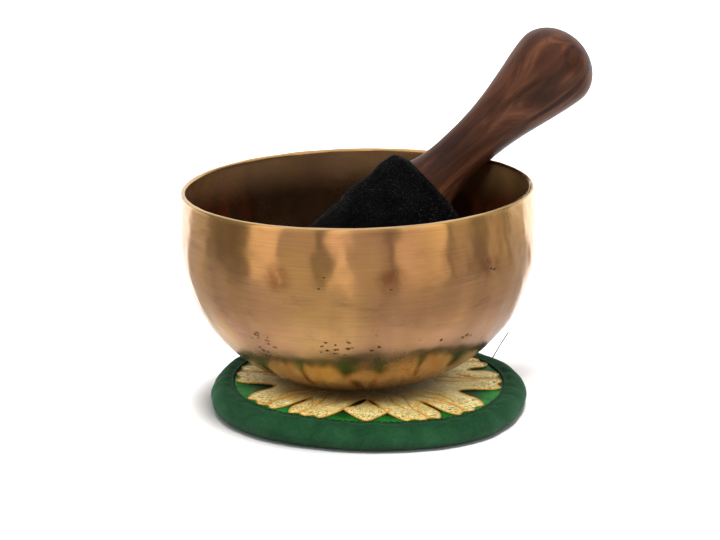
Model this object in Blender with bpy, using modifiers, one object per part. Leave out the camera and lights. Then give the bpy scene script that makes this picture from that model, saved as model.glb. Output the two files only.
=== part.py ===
"""Singing bowl set: a hammered bronze bowl on a round cushion, with a felt-headed wooden mallet.

The cushion lies on the floor, centred on the origin. The bowl stands on it, a little off its
centre and leaning slightly. The mallet leans inside the bowl, its handle lying on the rim.
Run with: blender --background --python part.py
"""
import math

import bpy
from mathutils import Euler, Vector

MM = 0.001
GAP = 0.3 * MM                              # clearance kept between touching pieces
MERGE = 0.00001                             # welds the points on a turning axis

# Bowl
BOWL_RADIUS = 65.0 * MM                     # at its widest
BOWL_HEIGHT = 71.5 * MM
BOWL_WALL = 1.9 * MM
FOOT_RADIUS = 12.0 * MM                     # the flat that it stands on
BELLY_RADIUS = BOWL_RADIUS - FOOT_RADIUS    # the round of the belly, from foot to wall
RIM_INSET = 0.9 * MM                        # how far the rim curves back in
BOWL_LEAN = math.radians(1.3)               # towards -X, where the cushion gives way
BOWL_FOOT = Vector((-2.9, 3.0, 10.0)) * MM  # centre of the foot

# Mallet, measured along its axis from the flat end of the head to the top of the knob
HEAD_LENGTH = 68.4 * MM
GRIP_LENGTH = 76.9 * MM
KNOB_RADIUS = 16.1 * MM
KNOB_DOME = 13.4 * MM                       # height of the knob's domed end
NECK_RADIUS = 9.05 * MM
NECK_BELOW_KNOB = 59.5 * MM                 # from the top of the knob to the neck
FLARE_RADIUS = 11.2 * MM                    # where the wood enters the felt
KNOB_SWELL = 0.75                           # under 1, the knob narrows sooner below its dome
FLARE_SWELL = 2.6                           # over 1, the neck flares later
CORE_RADIUS = 11.0 * MM
SHOULDER_RADIUS = 17.2 * MM                 # felt head, at its upper edge
HEAD_RADIUS = 18.6 * MM                     # felt head, lower down
HEAD_CORNER = 2.5 * MM
SHOULDER_DROP = 7.0 * MM                    # from the top of the felt to its upper edge
SWELL_DROP = 30.0 * MM                      # from there to where the felt head is full
SHOULDER_POINTS = ((14.4 * MM, 1.2 * MM), (16.3 * MM, 3.2 * MM))  # radius, drop from the top
FELT_COVER = 1.8 * MM
COVER_FOLD = 2.2 * MM                       # thickness of the cover where it closes on the wood
LINING_DROP = 5.5 * MM                      # from the top of the felt to the hollow inside
WINDING_DROP = 6.2 * MM                     # from the top of the felt to the padding
END_DISC = 2.6 * MM
MALLET_FOOT = Vector((-26.9, 24.7, 29.5)) * MM
MALLET_SLOPE = math.radians(41.7)           # of its axis, above level
MALLET_HEADING = math.radians(12.0)         # of its axis, from +X towards +Y

# Cushion, from the floor up
CLOTH = 0.8 * MM
CLOTH_RADIUS = 49.6 * MM
FILLING_RADIUS = 49.2 * MM
FILLING_TOP = 7.5 * MM
FILLING_ROUND = 2.0 * MM
LOTUS_THICKNESS = 0.5 * MM
LOTUS_RADIUS = 48.5 * MM
LOTUS_STEPS = 180
BORDER_INNER = 50.8 * MM
BORDER_CENTRE = 51.5 * MM                   # the roll's section is round about this radius
BORDER_WIDTH = 6.7 * MM
BORDER_HALF_HEIGHT = 4.6 * MM
BORDER_SQUARENESS = 2.5                     # 2 is an ellipse, more is squarer
THREAD_RADIUS = 0.3 * MM
SEAM_RADIUS = (CLOTH_RADIUS + BORDER_INNER) / 2
SEAM_TOP = 8.7 * MM
SEAM_BASE = 0.45 * MM

# Gaps between the petals on one side of the lotus: angle from the front petal's centre line,
# half the gap's width there, both in degrees, and the radius at its inner end
PETAL_GAPS = ((16, 4, 43 * MM), (37, 7, 31 * MM), (68, 11, 36 * MM),
              (107, 7, 39 * MM), (138, 8, 33 * MM), (164, 4, 43 * MM))

# Steps round a turned piece
FINE = 60
MEDIUM = 40


def clear_scene():
    """Remove the objects that a new file starts with."""
    for obj in list(bpy.data.objects):
        bpy.data.objects.remove(obj, do_unlink=True)


def material(name, colour, roughness, metallic=0.0):
    """Make a plain Principled material."""
    mat = bpy.data.materials.new(name)
    mat.use_nodes = True
    shader = mat.node_tree.nodes["Principled BSDF"]
    shader.inputs["Base Color"].default_value = (*colour, 1.0)
    shader.inputs["Roughness"].default_value = roughness
    shader.inputs["Metallic"].default_value = metallic
    return mat


def holder(name, location, rotation):
    """Make an empty that carries one sub-assembly."""
    empty = bpy.data.objects.new(name, None)
    empty.empty_display_size = 20 * MM
    empty.location = location
    empty.rotation_euler = rotation
    parts.objects.link(empty)
    return empty


def turned(name, profile, mat, parent, steps=MEDIUM, ring=False):
    """Turn a profile about Z. It runs down its outer side; a ring's profile is closed."""
    edges = [(i, i + 1) for i in range(len(profile) - 1)]
    if ring:
        edges.append((len(profile) - 1, 0))
    mesh = bpy.data.meshes.new(name)
    mesh.from_pydata([(r, 0.0, z) for r, z in profile], edges, [])
    mesh.materials.append(mat)
    obj = bpy.data.objects.new(name, mesh)
    obj.parent = parent
    parts.objects.link(obj)
    screw = obj.modifiers.new("Turn", "SCREW")
    screw.axis = "Z"
    screw.steps = steps
    screw.render_steps = steps
    screw.use_merge_vertices = True
    screw.merge_threshold = MERGE
    screw.use_smooth_shade = True
    return obj


def arc(centre, radius, start, end, count):
    """Points on a circle in the profile's plane, angles in degrees from +R towards +Z."""
    points = []
    for i in range(count + 1):
        angle = math.radians(start + (end - start) * i / count)
        points.append((centre[0] + radius * math.cos(angle), centre[1] + radius * math.sin(angle)))
    return points


def bowl_wall(inset, count):
    """Points of the upper wall, from above the belly to under the lip, a distance inside it."""
    rise = BOWL_HEIGHT - BOWL_WALL / 2 - BELLY_RADIUS
    points = []
    for i in range(1, count + 1):
        t = i / count
        points.append((BOWL_RADIUS - inset - RIM_INSET * t * t, BELLY_RADIUS + rise * t))
    return points


def bowl_profile():
    """Inside of the bowl from its floor up, over the lip and down the outside to the foot."""
    centre = (FOOT_RADIUS, BELLY_RADIUS)
    inner = arc(centre, BELLY_RADIUS - BOWL_WALL, -90, 0, 11) + bowl_wall(BOWL_WALL, 2)
    outer = arc(centre, BELLY_RADIUS, -90, 0, 11) + bowl_wall(0.0, 2)
    lip_centre = ((inner[-1][0] + outer[-1][0]) / 2, outer[-1][1])
    lip = arc(lip_centre, BOWL_WALL / 2, 180, 0, 4)[1:-1]
    return [(0.0, BOWL_WALL)] + inner + lip + outer[::-1] + [(0.0, 0.0)]


def make_bowl():
    """The one-piece bronze bowl, leaning on its foot."""
    stand = holder("bowl_stand", BOWL_FOOT, Euler((0.0, -BOWL_LEAN, 0.0)))
    bronze = material("bronze", (0.47, 0.27, 0.12), 0.32, 1.0)
    turned("bowl", bowl_profile(), bronze, stand, FINE)


def grip_radius(below_top):
    """Radius of the turned grip at a distance below the top of the knob."""
    if below_top <= KNOB_DOME:
        return KNOB_RADIUS * math.sqrt(1 - (1 - below_top / KNOB_DOME) ** 2)
    if below_top <= NECK_BELOW_KNOB:
        t = (below_top - KNOB_DOME) / (NECK_BELOW_KNOB - KNOB_DOME)
        return NECK_RADIUS + (KNOB_RADIUS - NECK_RADIUS) * (1 + math.cos(math.pi * t ** KNOB_SWELL)) / 2
    t = (below_top - NECK_BELOW_KNOB) / (GRIP_LENGTH - NECK_BELOW_KNOB)
    return NECK_RADIUS + (FLARE_RADIUS - NECK_RADIUS) * t ** FLARE_SWELL


def handle_profile():
    """Knob, neck and flare, then the straight core that the felt is wound on."""
    top = HEAD_LENGTH + GRIP_LENGTH
    dome = [KNOB_DOME * (1 - math.cos(math.pi / 2 * i / 6)) for i in range(7)]
    shaft = [KNOB_DOME + (GRIP_LENGTH - KNOB_DOME) * i / 12 for i in range(1, 13)]
    profile = [(grip_radius(s), top - s) for s in dome + shaft]
    core_end = END_DISC + GAP
    return profile + [(CORE_RADIUS, HEAD_LENGTH - GAP), (CORE_RADIUS, core_end), (0.0, core_end)]


def head_radius(z):
    """Outer radius of the felt head at a height above its flat end, below the shoulder."""
    t = min(max((HEAD_LENGTH - SHOULDER_DROP - z) / SWELL_DROP, 0.0), 1.0)
    return SHOULDER_RADIUS + (HEAD_RADIUS - SHOULDER_RADIUS) * math.sin(math.pi / 2 * t)


def cover_profile():
    """The felt sleeve: shoulder, barrel and rolled lower edge, open at both ends."""
    mouth = FLARE_RADIUS + GAP
    shoulder = [(mouth, HEAD_LENGTH)] + [(r, HEAD_LENGTH - drop) for r, drop in SHOULDER_POINTS]
    heights = [HEAD_LENGTH - SHOULDER_DROP - SWELL_DROP * i / 3 for i in range(4)]
    barrel = [(head_radius(z), z) for z in heights + [HEAD_CORNER]]
    corner = arc((HEAD_RADIUS - HEAD_CORNER, HEAD_CORNER), HEAD_CORNER, 0, -90, 4)[1:]
    inner = SHOULDER_RADIUS - FELT_COVER
    lining = [(inner, 0.0), (inner, HEAD_LENGTH - LINING_DROP), (mouth, HEAD_LENGTH - COVER_FOLD)]
    return shoulder + barrel + corner + lining


def make_mallet():
    """Turned handle with its core, wound padding, felt cover and end disc."""
    lean = Euler((0.0, math.pi / 2 - MALLET_SLOPE, MALLET_HEADING))
    stand = holder("mallet_stand", MALLET_FOOT, lean)
    wood = material("rosewood", (0.085, 0.035, 0.024), 0.38)
    felt = material("black_felt", (0.012, 0.012, 0.013), 0.95)
    wool = material("grey_wool", (0.30, 0.29, 0.27), 0.95)
    turned("mallet_handle", handle_profile(), wood, stand, MEDIUM)
    turned("felt_cover", cover_profile(), felt, stand, MEDIUM, ring=True)
    outer = SHOULDER_RADIUS - FELT_COVER - GAP
    inner = CORE_RADIUS + GAP
    top = HEAD_LENGTH - WINDING_DROP
    low = END_DISC + GAP
    winding = [(inner, top), (outer, top), (outer, low), (inner, low)]
    turned("felt_padding", winding, wool, stand, MEDIUM, ring=True)
    disc = [(0.0, END_DISC), (outer, END_DISC), (outer, 0.0), (0.0, 0.0)]
    turned("felt_end_disc", disc, felt, stand, MEDIUM)


def roll(width, half_height, count):
    """Outer half of the border's section, from its top to its underside."""
    points = []
    for i in range(count + 1):
        angle = math.pi / 2 - math.pi * i / count
        across = abs(math.cos(angle)) ** (2 / BORDER_SQUARENESS)
        up = math.copysign(abs(math.sin(angle)) ** (2 / BORDER_SQUARENESS), math.sin(angle))
        points.append((BORDER_CENTRE + width * across, BORDER_HALF_HEIGHT + half_height * up))
    return points


def make_border(cushion):
    """The velvet roll round the cushion: a folded band over a ring of wadding."""
    velvet = material("green_velvet", (0.025, 0.12, 0.055), 0.85)
    cotton = material("cotton_wadding", (0.80, 0.78, 0.72), 0.95)
    outer = roll(BORDER_WIDTH, BORDER_HALF_HEIGHT, 10)
    inner = roll(BORDER_WIDTH - CLOTH, BORDER_HALF_HEIGHT - CLOTH, 8)
    top_lip = [(BORDER_INNER, inner[0][1]), (BORDER_INNER, outer[0][1])]
    base_lip = [(BORDER_INNER, outer[-1][1]), (BORDER_INNER, inner[-1][1])]
    turned("border_band", top_lip + outer + base_lip + inner[::-1], velvet, cushion, MEDIUM, ring=True)
    shrink = CLOTH + GAP
    stuffing = roll(BORDER_WIDTH - shrink, BORDER_HALF_HEIGHT - shrink, 8)
    stuffing.append((BORDER_INNER + GAP, stuffing[-1][1] + GAP))
    stuffing.insert(0, (BORDER_INNER + GAP, stuffing[0][1] - GAP))
    turned("border_wadding", stuffing, cotton, cushion, MEDIUM, ring=True)


def slab(radius, low, high, round_by):
    """Profile of a disc with rounded edges, from the axis out, down and back to the axis."""
    upper = arc((radius - round_by, high - round_by), round_by, 90, 0, 2)
    lower = arc((radius - round_by, low + round_by), round_by, 0, -90, 2)
    return [(0.0, high)] + upper + lower + [(0.0, low)]


def lotus_radius(angle):
    """Outline of the lotus, angle in degrees from its front petal: broad petals with gaps between."""
    reach = LOTUS_RADIUS
    for middle, half_width, depth in PETAL_GAPS:
        offset = (abs(angle) - middle) / half_width
        if abs(offset) < 1:
            reach -= (LOTUS_RADIUS - depth) * (1 + math.cos(math.pi * offset)) / 2
    return reach


def make_lotus(cushion, low):
    """The gold brocade lotus as one flat outline on the satin."""
    curve = bpy.data.curves.new("lotus_outline", "CURVE")
    curve.dimensions = "2D"
    curve.fill_mode = "BOTH"
    curve.extrude = LOTUS_THICKNESS / 2
    spline = curve.splines.new("POLY")
    spline.points.add(LOTUS_STEPS - 1)
    for i, point in enumerate(spline.points):
        angle = 360 * i / LOTUS_STEPS - 180
        reach = lotus_radius(angle)
        turn = math.radians(angle)
        point.co = (reach * math.sin(turn), -reach * math.cos(turn), 0.0, 1.0)
    spline.use_cyclic_u = True
    curve.materials.append(material("gold_brocade", (0.62, 0.50, 0.22), 0.55))
    lotus = bpy.data.objects.new("lotus_applique", curve)
    lotus.parent = cushion
    lotus.location.z = low + LOTUS_THICKNESS / 2
    parts.objects.link(lotus)


def make_cushion():
    """Base cloth, filling, satin top, lotus, border and the two seam threads."""
    cushion = holder("cushion_stand", Vector(), Euler())
    green_cloth = material("green_cotton", (0.02, 0.09, 0.045), 0.9)
    satin = material("green_satin", (0.04, 0.30, 0.09), 0.4)
    foam = material("cotton_filling", (0.82, 0.80, 0.74), 0.95)
    thread = material("green_thread", (0.012, 0.045, 0.025), 0.8)
    turned("base_cloth", slab(CLOTH_RADIUS, 0.0, CLOTH, CLOTH / 4), green_cloth, cushion, MEDIUM)
    low = CLOTH + GAP
    turned("cushion_filling", slab(FILLING_RADIUS, low, FILLING_TOP, FILLING_ROUND), foam, cushion, MEDIUM)
    low = FILLING_TOP + GAP
    turned("satin_top", slab(CLOTH_RADIUS, low, low + CLOTH, CLOTH / 4), satin, cushion, MEDIUM)
    make_lotus(cushion, low + CLOTH + GAP)
    make_border(cushion)
    for name, height in (("seam_thread_top", SEAM_TOP), ("seam_thread_base", SEAM_BASE)):
        section = arc((SEAM_RADIUS, height), THREAD_RADIUS, 90, -270, 6)[:-1]
        turned(name, section, thread, cushion, MEDIUM, ring=True)


clear_scene()
parts = bpy.data.collections.new("singing_bowl_set")
bpy.context.scene.collection.children.link(parts)
make_cushion()
make_bowl()
make_mallet()
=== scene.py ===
"""Finished look of a singing bowl set: bronze bowl, green cushion with a gold lotus, and mallet."""

import logging
import math
from dataclasses import dataclass
from enum import Enum

import bmesh
import bpy
import numpy as np
from mathutils import Euler, Matrix, Vector
from mathutils.geometry import delaunay_2d_cdt
from mathutils.kdtree import KDTree


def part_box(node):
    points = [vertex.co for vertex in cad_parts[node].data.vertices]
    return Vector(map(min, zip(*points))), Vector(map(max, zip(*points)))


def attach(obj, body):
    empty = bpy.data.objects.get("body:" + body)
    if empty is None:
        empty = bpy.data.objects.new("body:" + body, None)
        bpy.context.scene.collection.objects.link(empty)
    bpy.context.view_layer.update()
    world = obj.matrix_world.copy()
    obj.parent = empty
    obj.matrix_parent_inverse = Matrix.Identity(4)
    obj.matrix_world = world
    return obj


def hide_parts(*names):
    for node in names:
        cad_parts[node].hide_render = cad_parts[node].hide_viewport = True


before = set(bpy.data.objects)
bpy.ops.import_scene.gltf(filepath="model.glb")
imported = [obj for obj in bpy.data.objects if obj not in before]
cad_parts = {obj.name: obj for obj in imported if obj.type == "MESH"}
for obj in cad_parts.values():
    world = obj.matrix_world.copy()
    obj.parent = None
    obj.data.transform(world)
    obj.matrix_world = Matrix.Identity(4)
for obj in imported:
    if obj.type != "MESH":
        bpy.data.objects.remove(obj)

MM = 0.001
log = logging.getLogger("singing_bowl")

Colour = tuple[float, float, float]
Outline = list[tuple[float, float]]


class Body(Enum):
    """The moving bodies of the set."""

    CUSHION = "cushion"
    BOWL = "bowl"
    MALLET = "mallet"


# ---------------------------------------------------------------------------------------------
# Shapes shared by the pieces
# ---------------------------------------------------------------------------------------------


@dataclass(frozen=True)
class Unevenness:
    """A soft random swelling of hand-made surfaces, as a sum of waves in every direction."""

    wavelength: float
    height: float
    seed: int
    waves: int = 22

    def at(self, points: np.ndarray) -> np.ndarray:
        """Give the swelling at each point.

        Args:
            points: Points as rows of coordinates, in metres.

        Returns:
            One height for each point, in metres.
        """
        draw = np.random.default_rng(self.seed)
        turns = draw.normal(size=(self.waves, points.shape[-1]))
        turns /= np.linalg.norm(turns, axis=1)[:, None]
        turns *= 2 * math.pi / self.wavelength * draw.uniform(0.6, 1.5, self.waves)[:, None]
        phases = draw.uniform(0, 2 * math.pi, self.waves)
        total = np.cos(points @ turns.T + phases).sum(axis=-1)
        return self.height * total * math.sqrt(2 / self.waves)


def smooth_step(low: float, high: float, value: np.ndarray) -> np.ndarray:
    """Rise smoothly from 0 at low to 1 at high."""
    t = np.clip((value - low) / (high - low), 0.0, 1.0)
    return t * t * (3 - 2 * t)


def arc(centre: tuple[float, float], radius: float, start: float, end: float, count: int) -> Outline:
    """Give points on a circle in a profile's plane, ends included.

    Args:
        centre: Distance from the axis and height of the circle's middle.
        radius: Radius of the circle.
        start: First angle in degrees, from outwards towards upwards.
        end: Last angle in degrees.
        count: Number of steps.

    Returns:
        Points as distance from the axis and height.
    """
    angles = np.radians(np.linspace(start, end, count + 1))
    return [(centre[0] + radius * math.cos(a), centre[1] + radius * math.sin(a)) for a in angles]


def turned_rows(profile: Outline, steps: int) -> np.ndarray:
    """Turn a profile about the upright axis.

    Args:
        profile: Points as distance from the axis and height.
        steps: Number of points round the axis.

    Returns:
        An array of rows, one for each profile point, of points round the axis.
    """
    angles = np.linspace(0, 2 * math.pi, steps, endpoint=False)
    outline = np.array(profile)
    rows = np.empty((len(profile), steps, 3))
    rows[:, :, 0] = outline[:, :1] * np.cos(angles)
    rows[:, :, 1] = outline[:, :1] * np.sin(angles)
    rows[:, :, 2] = outline[:, 1:]
    return rows


def row_normals(rows: np.ndarray, closed: bool) -> np.ndarray:
    """Give the unit normals of a turned surface, outwards for a profile that runs down its outer side.

    Args:
        rows: Rows of points round the axis.
        closed: Whether the last row joins the first.

    Returns:
        An array like rows.
    """
    around = np.roll(rows, -1, axis=1) - np.roll(rows, 1, axis=1)
    if closed:
        along = np.roll(rows, -1, axis=0) - np.roll(rows, 1, axis=0)
    else:
        along = np.gradient(rows, axis=0)
    normals = np.cross(along, around)
    lengths = np.linalg.norm(normals, axis=2, keepdims=True)
    return normals / np.maximum(lengths, 1e-12)


def put_in_scene(name: str, data: object) -> bpy.types.Object:
    """Make an object from its data and put it in the scene.

    Args:
        name: Name of the object.
        data: Its mesh, curve, lamp or camera.

    Returns:
        The new object, at the origin.
    """
    piece = bpy.data.objects.new(name, data)
    bpy.context.scene.collection.objects.link(piece)
    return piece


def mesh_piece(name: str, points: np.ndarray, faces: list[tuple[int, ...]]) -> bpy.types.Object:
    """Make a smooth mesh object whose faces look outwards.

    Args:
        name: Name of the piece.
        points: Its points, in metres.
        faces: Its faces as point numbers.

    Returns:
        The new object, at the origin.
    """
    mesh = bpy.data.meshes.new(name)
    mesh.from_pydata(points.tolist(), [], faces)
    shape = bmesh.new()
    shape.from_mesh(mesh)
    bmesh.ops.recalc_face_normals(shape, faces=shape.faces)
    shape.to_mesh(mesh)
    shape.free()
    mesh.shade_smooth()
    return put_in_scene(name, mesh)


def shell(name: str, rows: np.ndarray, closed: bool) -> bpy.types.Object:
    """Join rows of points round an axis into one closed surface.

    Args:
        name: Name of the piece.
        rows: Rows of points round the axis.
        closed: Whether the last row joins the first. Otherwise both end in a point on the axis.

    Returns:
        The new object.
    """
    count, steps = rows.shape[:2]
    points = rows.reshape(-1, 3)
    faces = []
    for i in range(count if closed else count - 1):
        a, b = i * steps, (i + 1) % count * steps
        for j in range(steps):
            k = (j + 1) % steps
            faces.append((a + j, a + k, b + k, b + j))
    if not closed:
        poles = np.array([rows[0].mean(axis=0), rows[-1].mean(axis=0)])
        first, last = len(points), len(points) + 1
        points = np.vstack([points, poles])
        for j in range(steps):
            k = (j + 1) % steps
            faces.append((first, j, k))
            faces.append((last, (count - 1) * steps + k, (count - 1) * steps + j))
    return mesh_piece(name, points, faces)


def standing(profile: Outline, turn: Euler, node: str) -> Matrix:
    """Find how a turned piece stands, from the box of the node that it follows.

    Args:
        profile: The plain profile of the node, about its own axis.
        turn: How its axis leans.
        node: Name of the node.

    Returns:
        The matrix that takes the piece from its own axis to its place.
    """
    lean = turn.to_matrix()
    points = turned_rows(profile, 180).reshape(-1, 3) @ np.array(lean).T
    low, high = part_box(node)
    offset = (Vector(low) + Vector(high)) / 2 - Vector((points.min(0) + points.max(0)) / 2)
    return Matrix.Translation(offset) @ lean.to_4x4()


def mark(piece: bpy.types.Object, name: str, values: np.ndarray) -> None:
    """Keep one share for each point of a turned piece; points past the values' end repeat the last.

    Args:
        piece: The piece.
        name: Name of the share.
        values: The shares, in the order of the points.
    """
    shares = np.full(len(piece.data.vertices), values.ravel()[-1], np.float32)
    shares[:values.size] = values.ravel()
    piece.data.attributes.new(name, "FLOAT", "POINT").data.foreach_set("value", shares)


def place(piece: bpy.types.Object, matrix: Matrix) -> None:
    """Move a piece by moving its mesh, so that its object stays at the origin."""
    piece.data.transform(matrix)
    piece.data.update()


# ---------------------------------------------------------------------------------------------
# Finishes
# ---------------------------------------------------------------------------------------------


def fade(nodes: object, links: object, value: object, none: float, full: float) -> object:
    """Add a node that rises smoothly from 0 to 1 as a value goes from one number to another.

    Args:
        nodes: Nodes of the material or the world.
        links: Links between them.
        value: Socket of the value.
        none: Where the result is 0.
        full: Where the result is 1; it may lie below the other.

    Returns:
        The socket of the result.
    """
    node = nodes.new("ShaderNodeMapRange")
    node.interpolation_type = "SMOOTHSTEP"
    node.inputs["From Min"].default_value = none
    node.inputs["From Max"].default_value = full
    links.new(value, node.inputs["Value"])
    return node.outputs["Result"]


class Recipe:
    """A material while it is being mixed: it adds nodes and joins them."""

    def __init__(self, name: str) -> None:
        """Start a material with only its shader.

        Args:
            name: Name of the material.
        """
        self.material = bpy.data.materials.new(name)
        self.material.use_nodes = True
        self.nodes = self.material.node_tree.nodes
        self.links = self.material.node_tree.links
        self.shader = self.nodes["Principled BSDF"]
        self.place = self.nodes.new("ShaderNodeTexCoord").outputs["Object"]

    def join(self, source: object, target: object) -> None:
        """Set an input from a socket or a plain value.

        Args:
            source: The socket or value.
            target: The input.
        """
        if isinstance(source, bpy.types.NodeSocket):
            self.links.new(source, target)
        else:
            target.default_value = source

    def mapped(self, scale: tuple[float, float, float], turn: Euler | None = None,
               start: tuple[float, float, float] = (0, 0, 0), source: object = None) -> object:
        """Stretch or turn the coordinates.

        Args:
            scale: How much finer the pattern is along each axis.
            turn: How the axes turn first.
            start: Where the pattern starts.
            source: Coordinates to use in place of the object's own.

        Returns:
            The new coordinates.
        """
        place_in = source or self.place
        if turn is not None:
            spin = self.nodes.new("ShaderNodeMapping")
            spin.vector_type = "TEXTURE"
            spin.inputs["Rotation"].default_value = turn
            spin.inputs["Location"].default_value = start
            self.links.new(place_in, spin.inputs["Vector"])
            place_in = spin.outputs["Vector"]
        stretch = self.nodes.new("ShaderNodeMapping")
        stretch.inputs["Scale"].default_value = scale
        if turn is None:
            stretch.inputs["Location"].default_value = start
        self.links.new(place_in, stretch.inputs["Vector"])
        return stretch.outputs["Vector"]

    def noise(self, where: object, scale: float, detail: float = 3.0, rough: float = 0.55,
              warp: float = 0.0) -> object:
        """Add a noise pattern.

        Args:
            where: Coordinates.
            scale: How fine it is.
            detail: How many finer layers it has.
            rough: How strong the finer layers are.
            warp: How much it is distorted.

        Returns:
            Its value, about 0.5 in the middle.
        """
        node = self.nodes.new("ShaderNodeTexNoise")
        node.inputs["Scale"].default_value = scale
        node.inputs["Detail"].default_value = detail
        node.inputs["Roughness"].default_value = rough
        node.inputs["Distortion"].default_value = warp
        self.links.new(where, node.inputs["Vector"])
        return node.outputs["Fac"]

    def marked(self, name: str) -> object:
        """Read a share kept with the piece's points.

        Args:
            name: Name of the share.

        Returns:
            The share, from 0 to 1.
        """
        node = self.nodes.new("ShaderNodeAttribute")
        node.attribute_name = name
        return node.outputs["Fac"]

    def cells(self, where: object, scale: float, spread: float = 1.0) -> object:
        """Add the distance to scattered points.

        Args:
            where: Coordinates.
            scale: How close together the points lie.
            spread: How far they stray from a grid, from 0 to 1.

        Returns:
            The distance to the nearest point, in cells.
        """
        node = self.nodes.new("ShaderNodeTexVoronoi")
        node.inputs["Scale"].default_value = scale
        node.inputs["Randomness"].default_value = spread
        self.links.new(where, node.inputs["Vector"])
        return node.outputs["Distance"]

    def ramp(self, value: object, *stops: tuple[float, float | Colour]) -> object:
        """Turn a value into shades or colours.

        Args:
            value: The value to look up.
            stops: Places from 0 to 1, each with a grey share or a colour.

        Returns:
            The colour.
        """
        node = self.nodes.new("ShaderNodeValToRGB")
        marks = node.color_ramp.elements
        while len(marks) < len(stops):
            marks.new(0.5)
        for mark, (at, shade) in zip(marks, stops):
            mark.position = at
            tone = (shade,) * 3 if isinstance(shade, (int, float)) else shade
            mark.color = (*tone, 1.0)
        self.join(value, node.inputs["Fac"])
        return node.outputs["Color"]

    def sum(self, kind: str, a: object, b: object) -> object:
        """Combine two values.

        Args:
            kind: One of the Math node's operations.
            a: First value or its socket.
            b: Second value or its socket.

        Returns:
            The result.
        """
        node = self.nodes.new("ShaderNodeMath")
        node.operation = kind
        self.join(a, node.inputs[0])
        self.join(b, node.inputs[1])
        return node.outputs["Value"]

    def mix(self, share: object, a: object, b: object, kind: str = "MIX") -> object:
        """Mix two colours.

        Args:
            share: How much of the second colour, from 0 to 1.
            a: First colour or its socket.
            b: Second colour or its socket.
            kind: How they mix.

        Returns:
            The colour.
        """
        node = self.nodes.new("ShaderNodeMix")
        node.data_type = "RGBA"
        node.blend_type = kind
        self.join(share, node.inputs["Factor"])
        self.join((*a, 1.0) if isinstance(a, tuple) else a, node.inputs[6])
        self.join((*b, 1.0) if isinstance(b, tuple) else b, node.inputs[7])
        return node.outputs[2]

    def vector(self, kind: str, a: object, b: object = None) -> object:
        """Work on one vector or combine two.

        Args:
            kind: One of the Vector Math node's operations.
            a: First vector or its socket.
            b: Second vector or its socket, where the operation takes one.

        Returns:
            The node, whose result is its Value or its Vector.
        """
        node = self.nodes.new("ShaderNodeVectorMath")
        node.operation = kind
        self.join(a, node.inputs[0])
        if b is not None:
            self.join(b, node.inputs[1])
        return node

    def fade(self, value: object, none: float, full: float) -> object:
        """Rise smoothly from 0 to 1 as a value goes from one number to another."""
        return fade(self.nodes, self.links, value, none, full)

    def near_middle(self, full: float, none: float) -> object:
        """Give a share that rises towards the middle of the cushion, by a spot's distance from it.

        Args:
            full: Distance within which the share is 1.
            none: Distance past which the share is 0.

        Returns:
            A share from 0 to 1.
        """
        length = self.vector("LENGTH", self.mapped((1, 1, 0)))
        return self.fade(length.outputs["Value"], none, full)

    def bump(self, height: object, depth: float, under: object = None) -> object:
        """Raise the surface by a pattern, on top of another such pattern.

        Args:
            height: The pattern, from 0 to 1.
            depth: How far its 1 stands out, in metres.
            under: The pattern below it.

        Returns:
            The normal.
        """
        node = self.nodes.new("ShaderNodeBump")
        node.inputs["Strength"].default_value = 1.0
        node.inputs["Distance"].default_value = depth
        self.join(height, node.inputs["Height"])
        if under is not None:
            self.links.new(under, node.inputs["Normal"])
        return node.outputs["Normal"]

    def finish(self, settings: dict[str, object]) -> bpy.types.Material:
        """Set the shader's inputs by name and give the material.

        Args:
            settings: Values or sockets by the inputs' names.

        Returns:
            The material.
        """
        for name, value in settings.items():
            if isinstance(value, tuple) and len(value) == 3:
                value = (*value, 1.0)
            self.join(value, self.shader.inputs[name])
        return self.material


@dataclass(frozen=True)
class PitCluster:
    """A patch of casting pits: bearing from the front in degrees, height and spread."""

    bearing: float
    height: float
    spread: float


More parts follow.
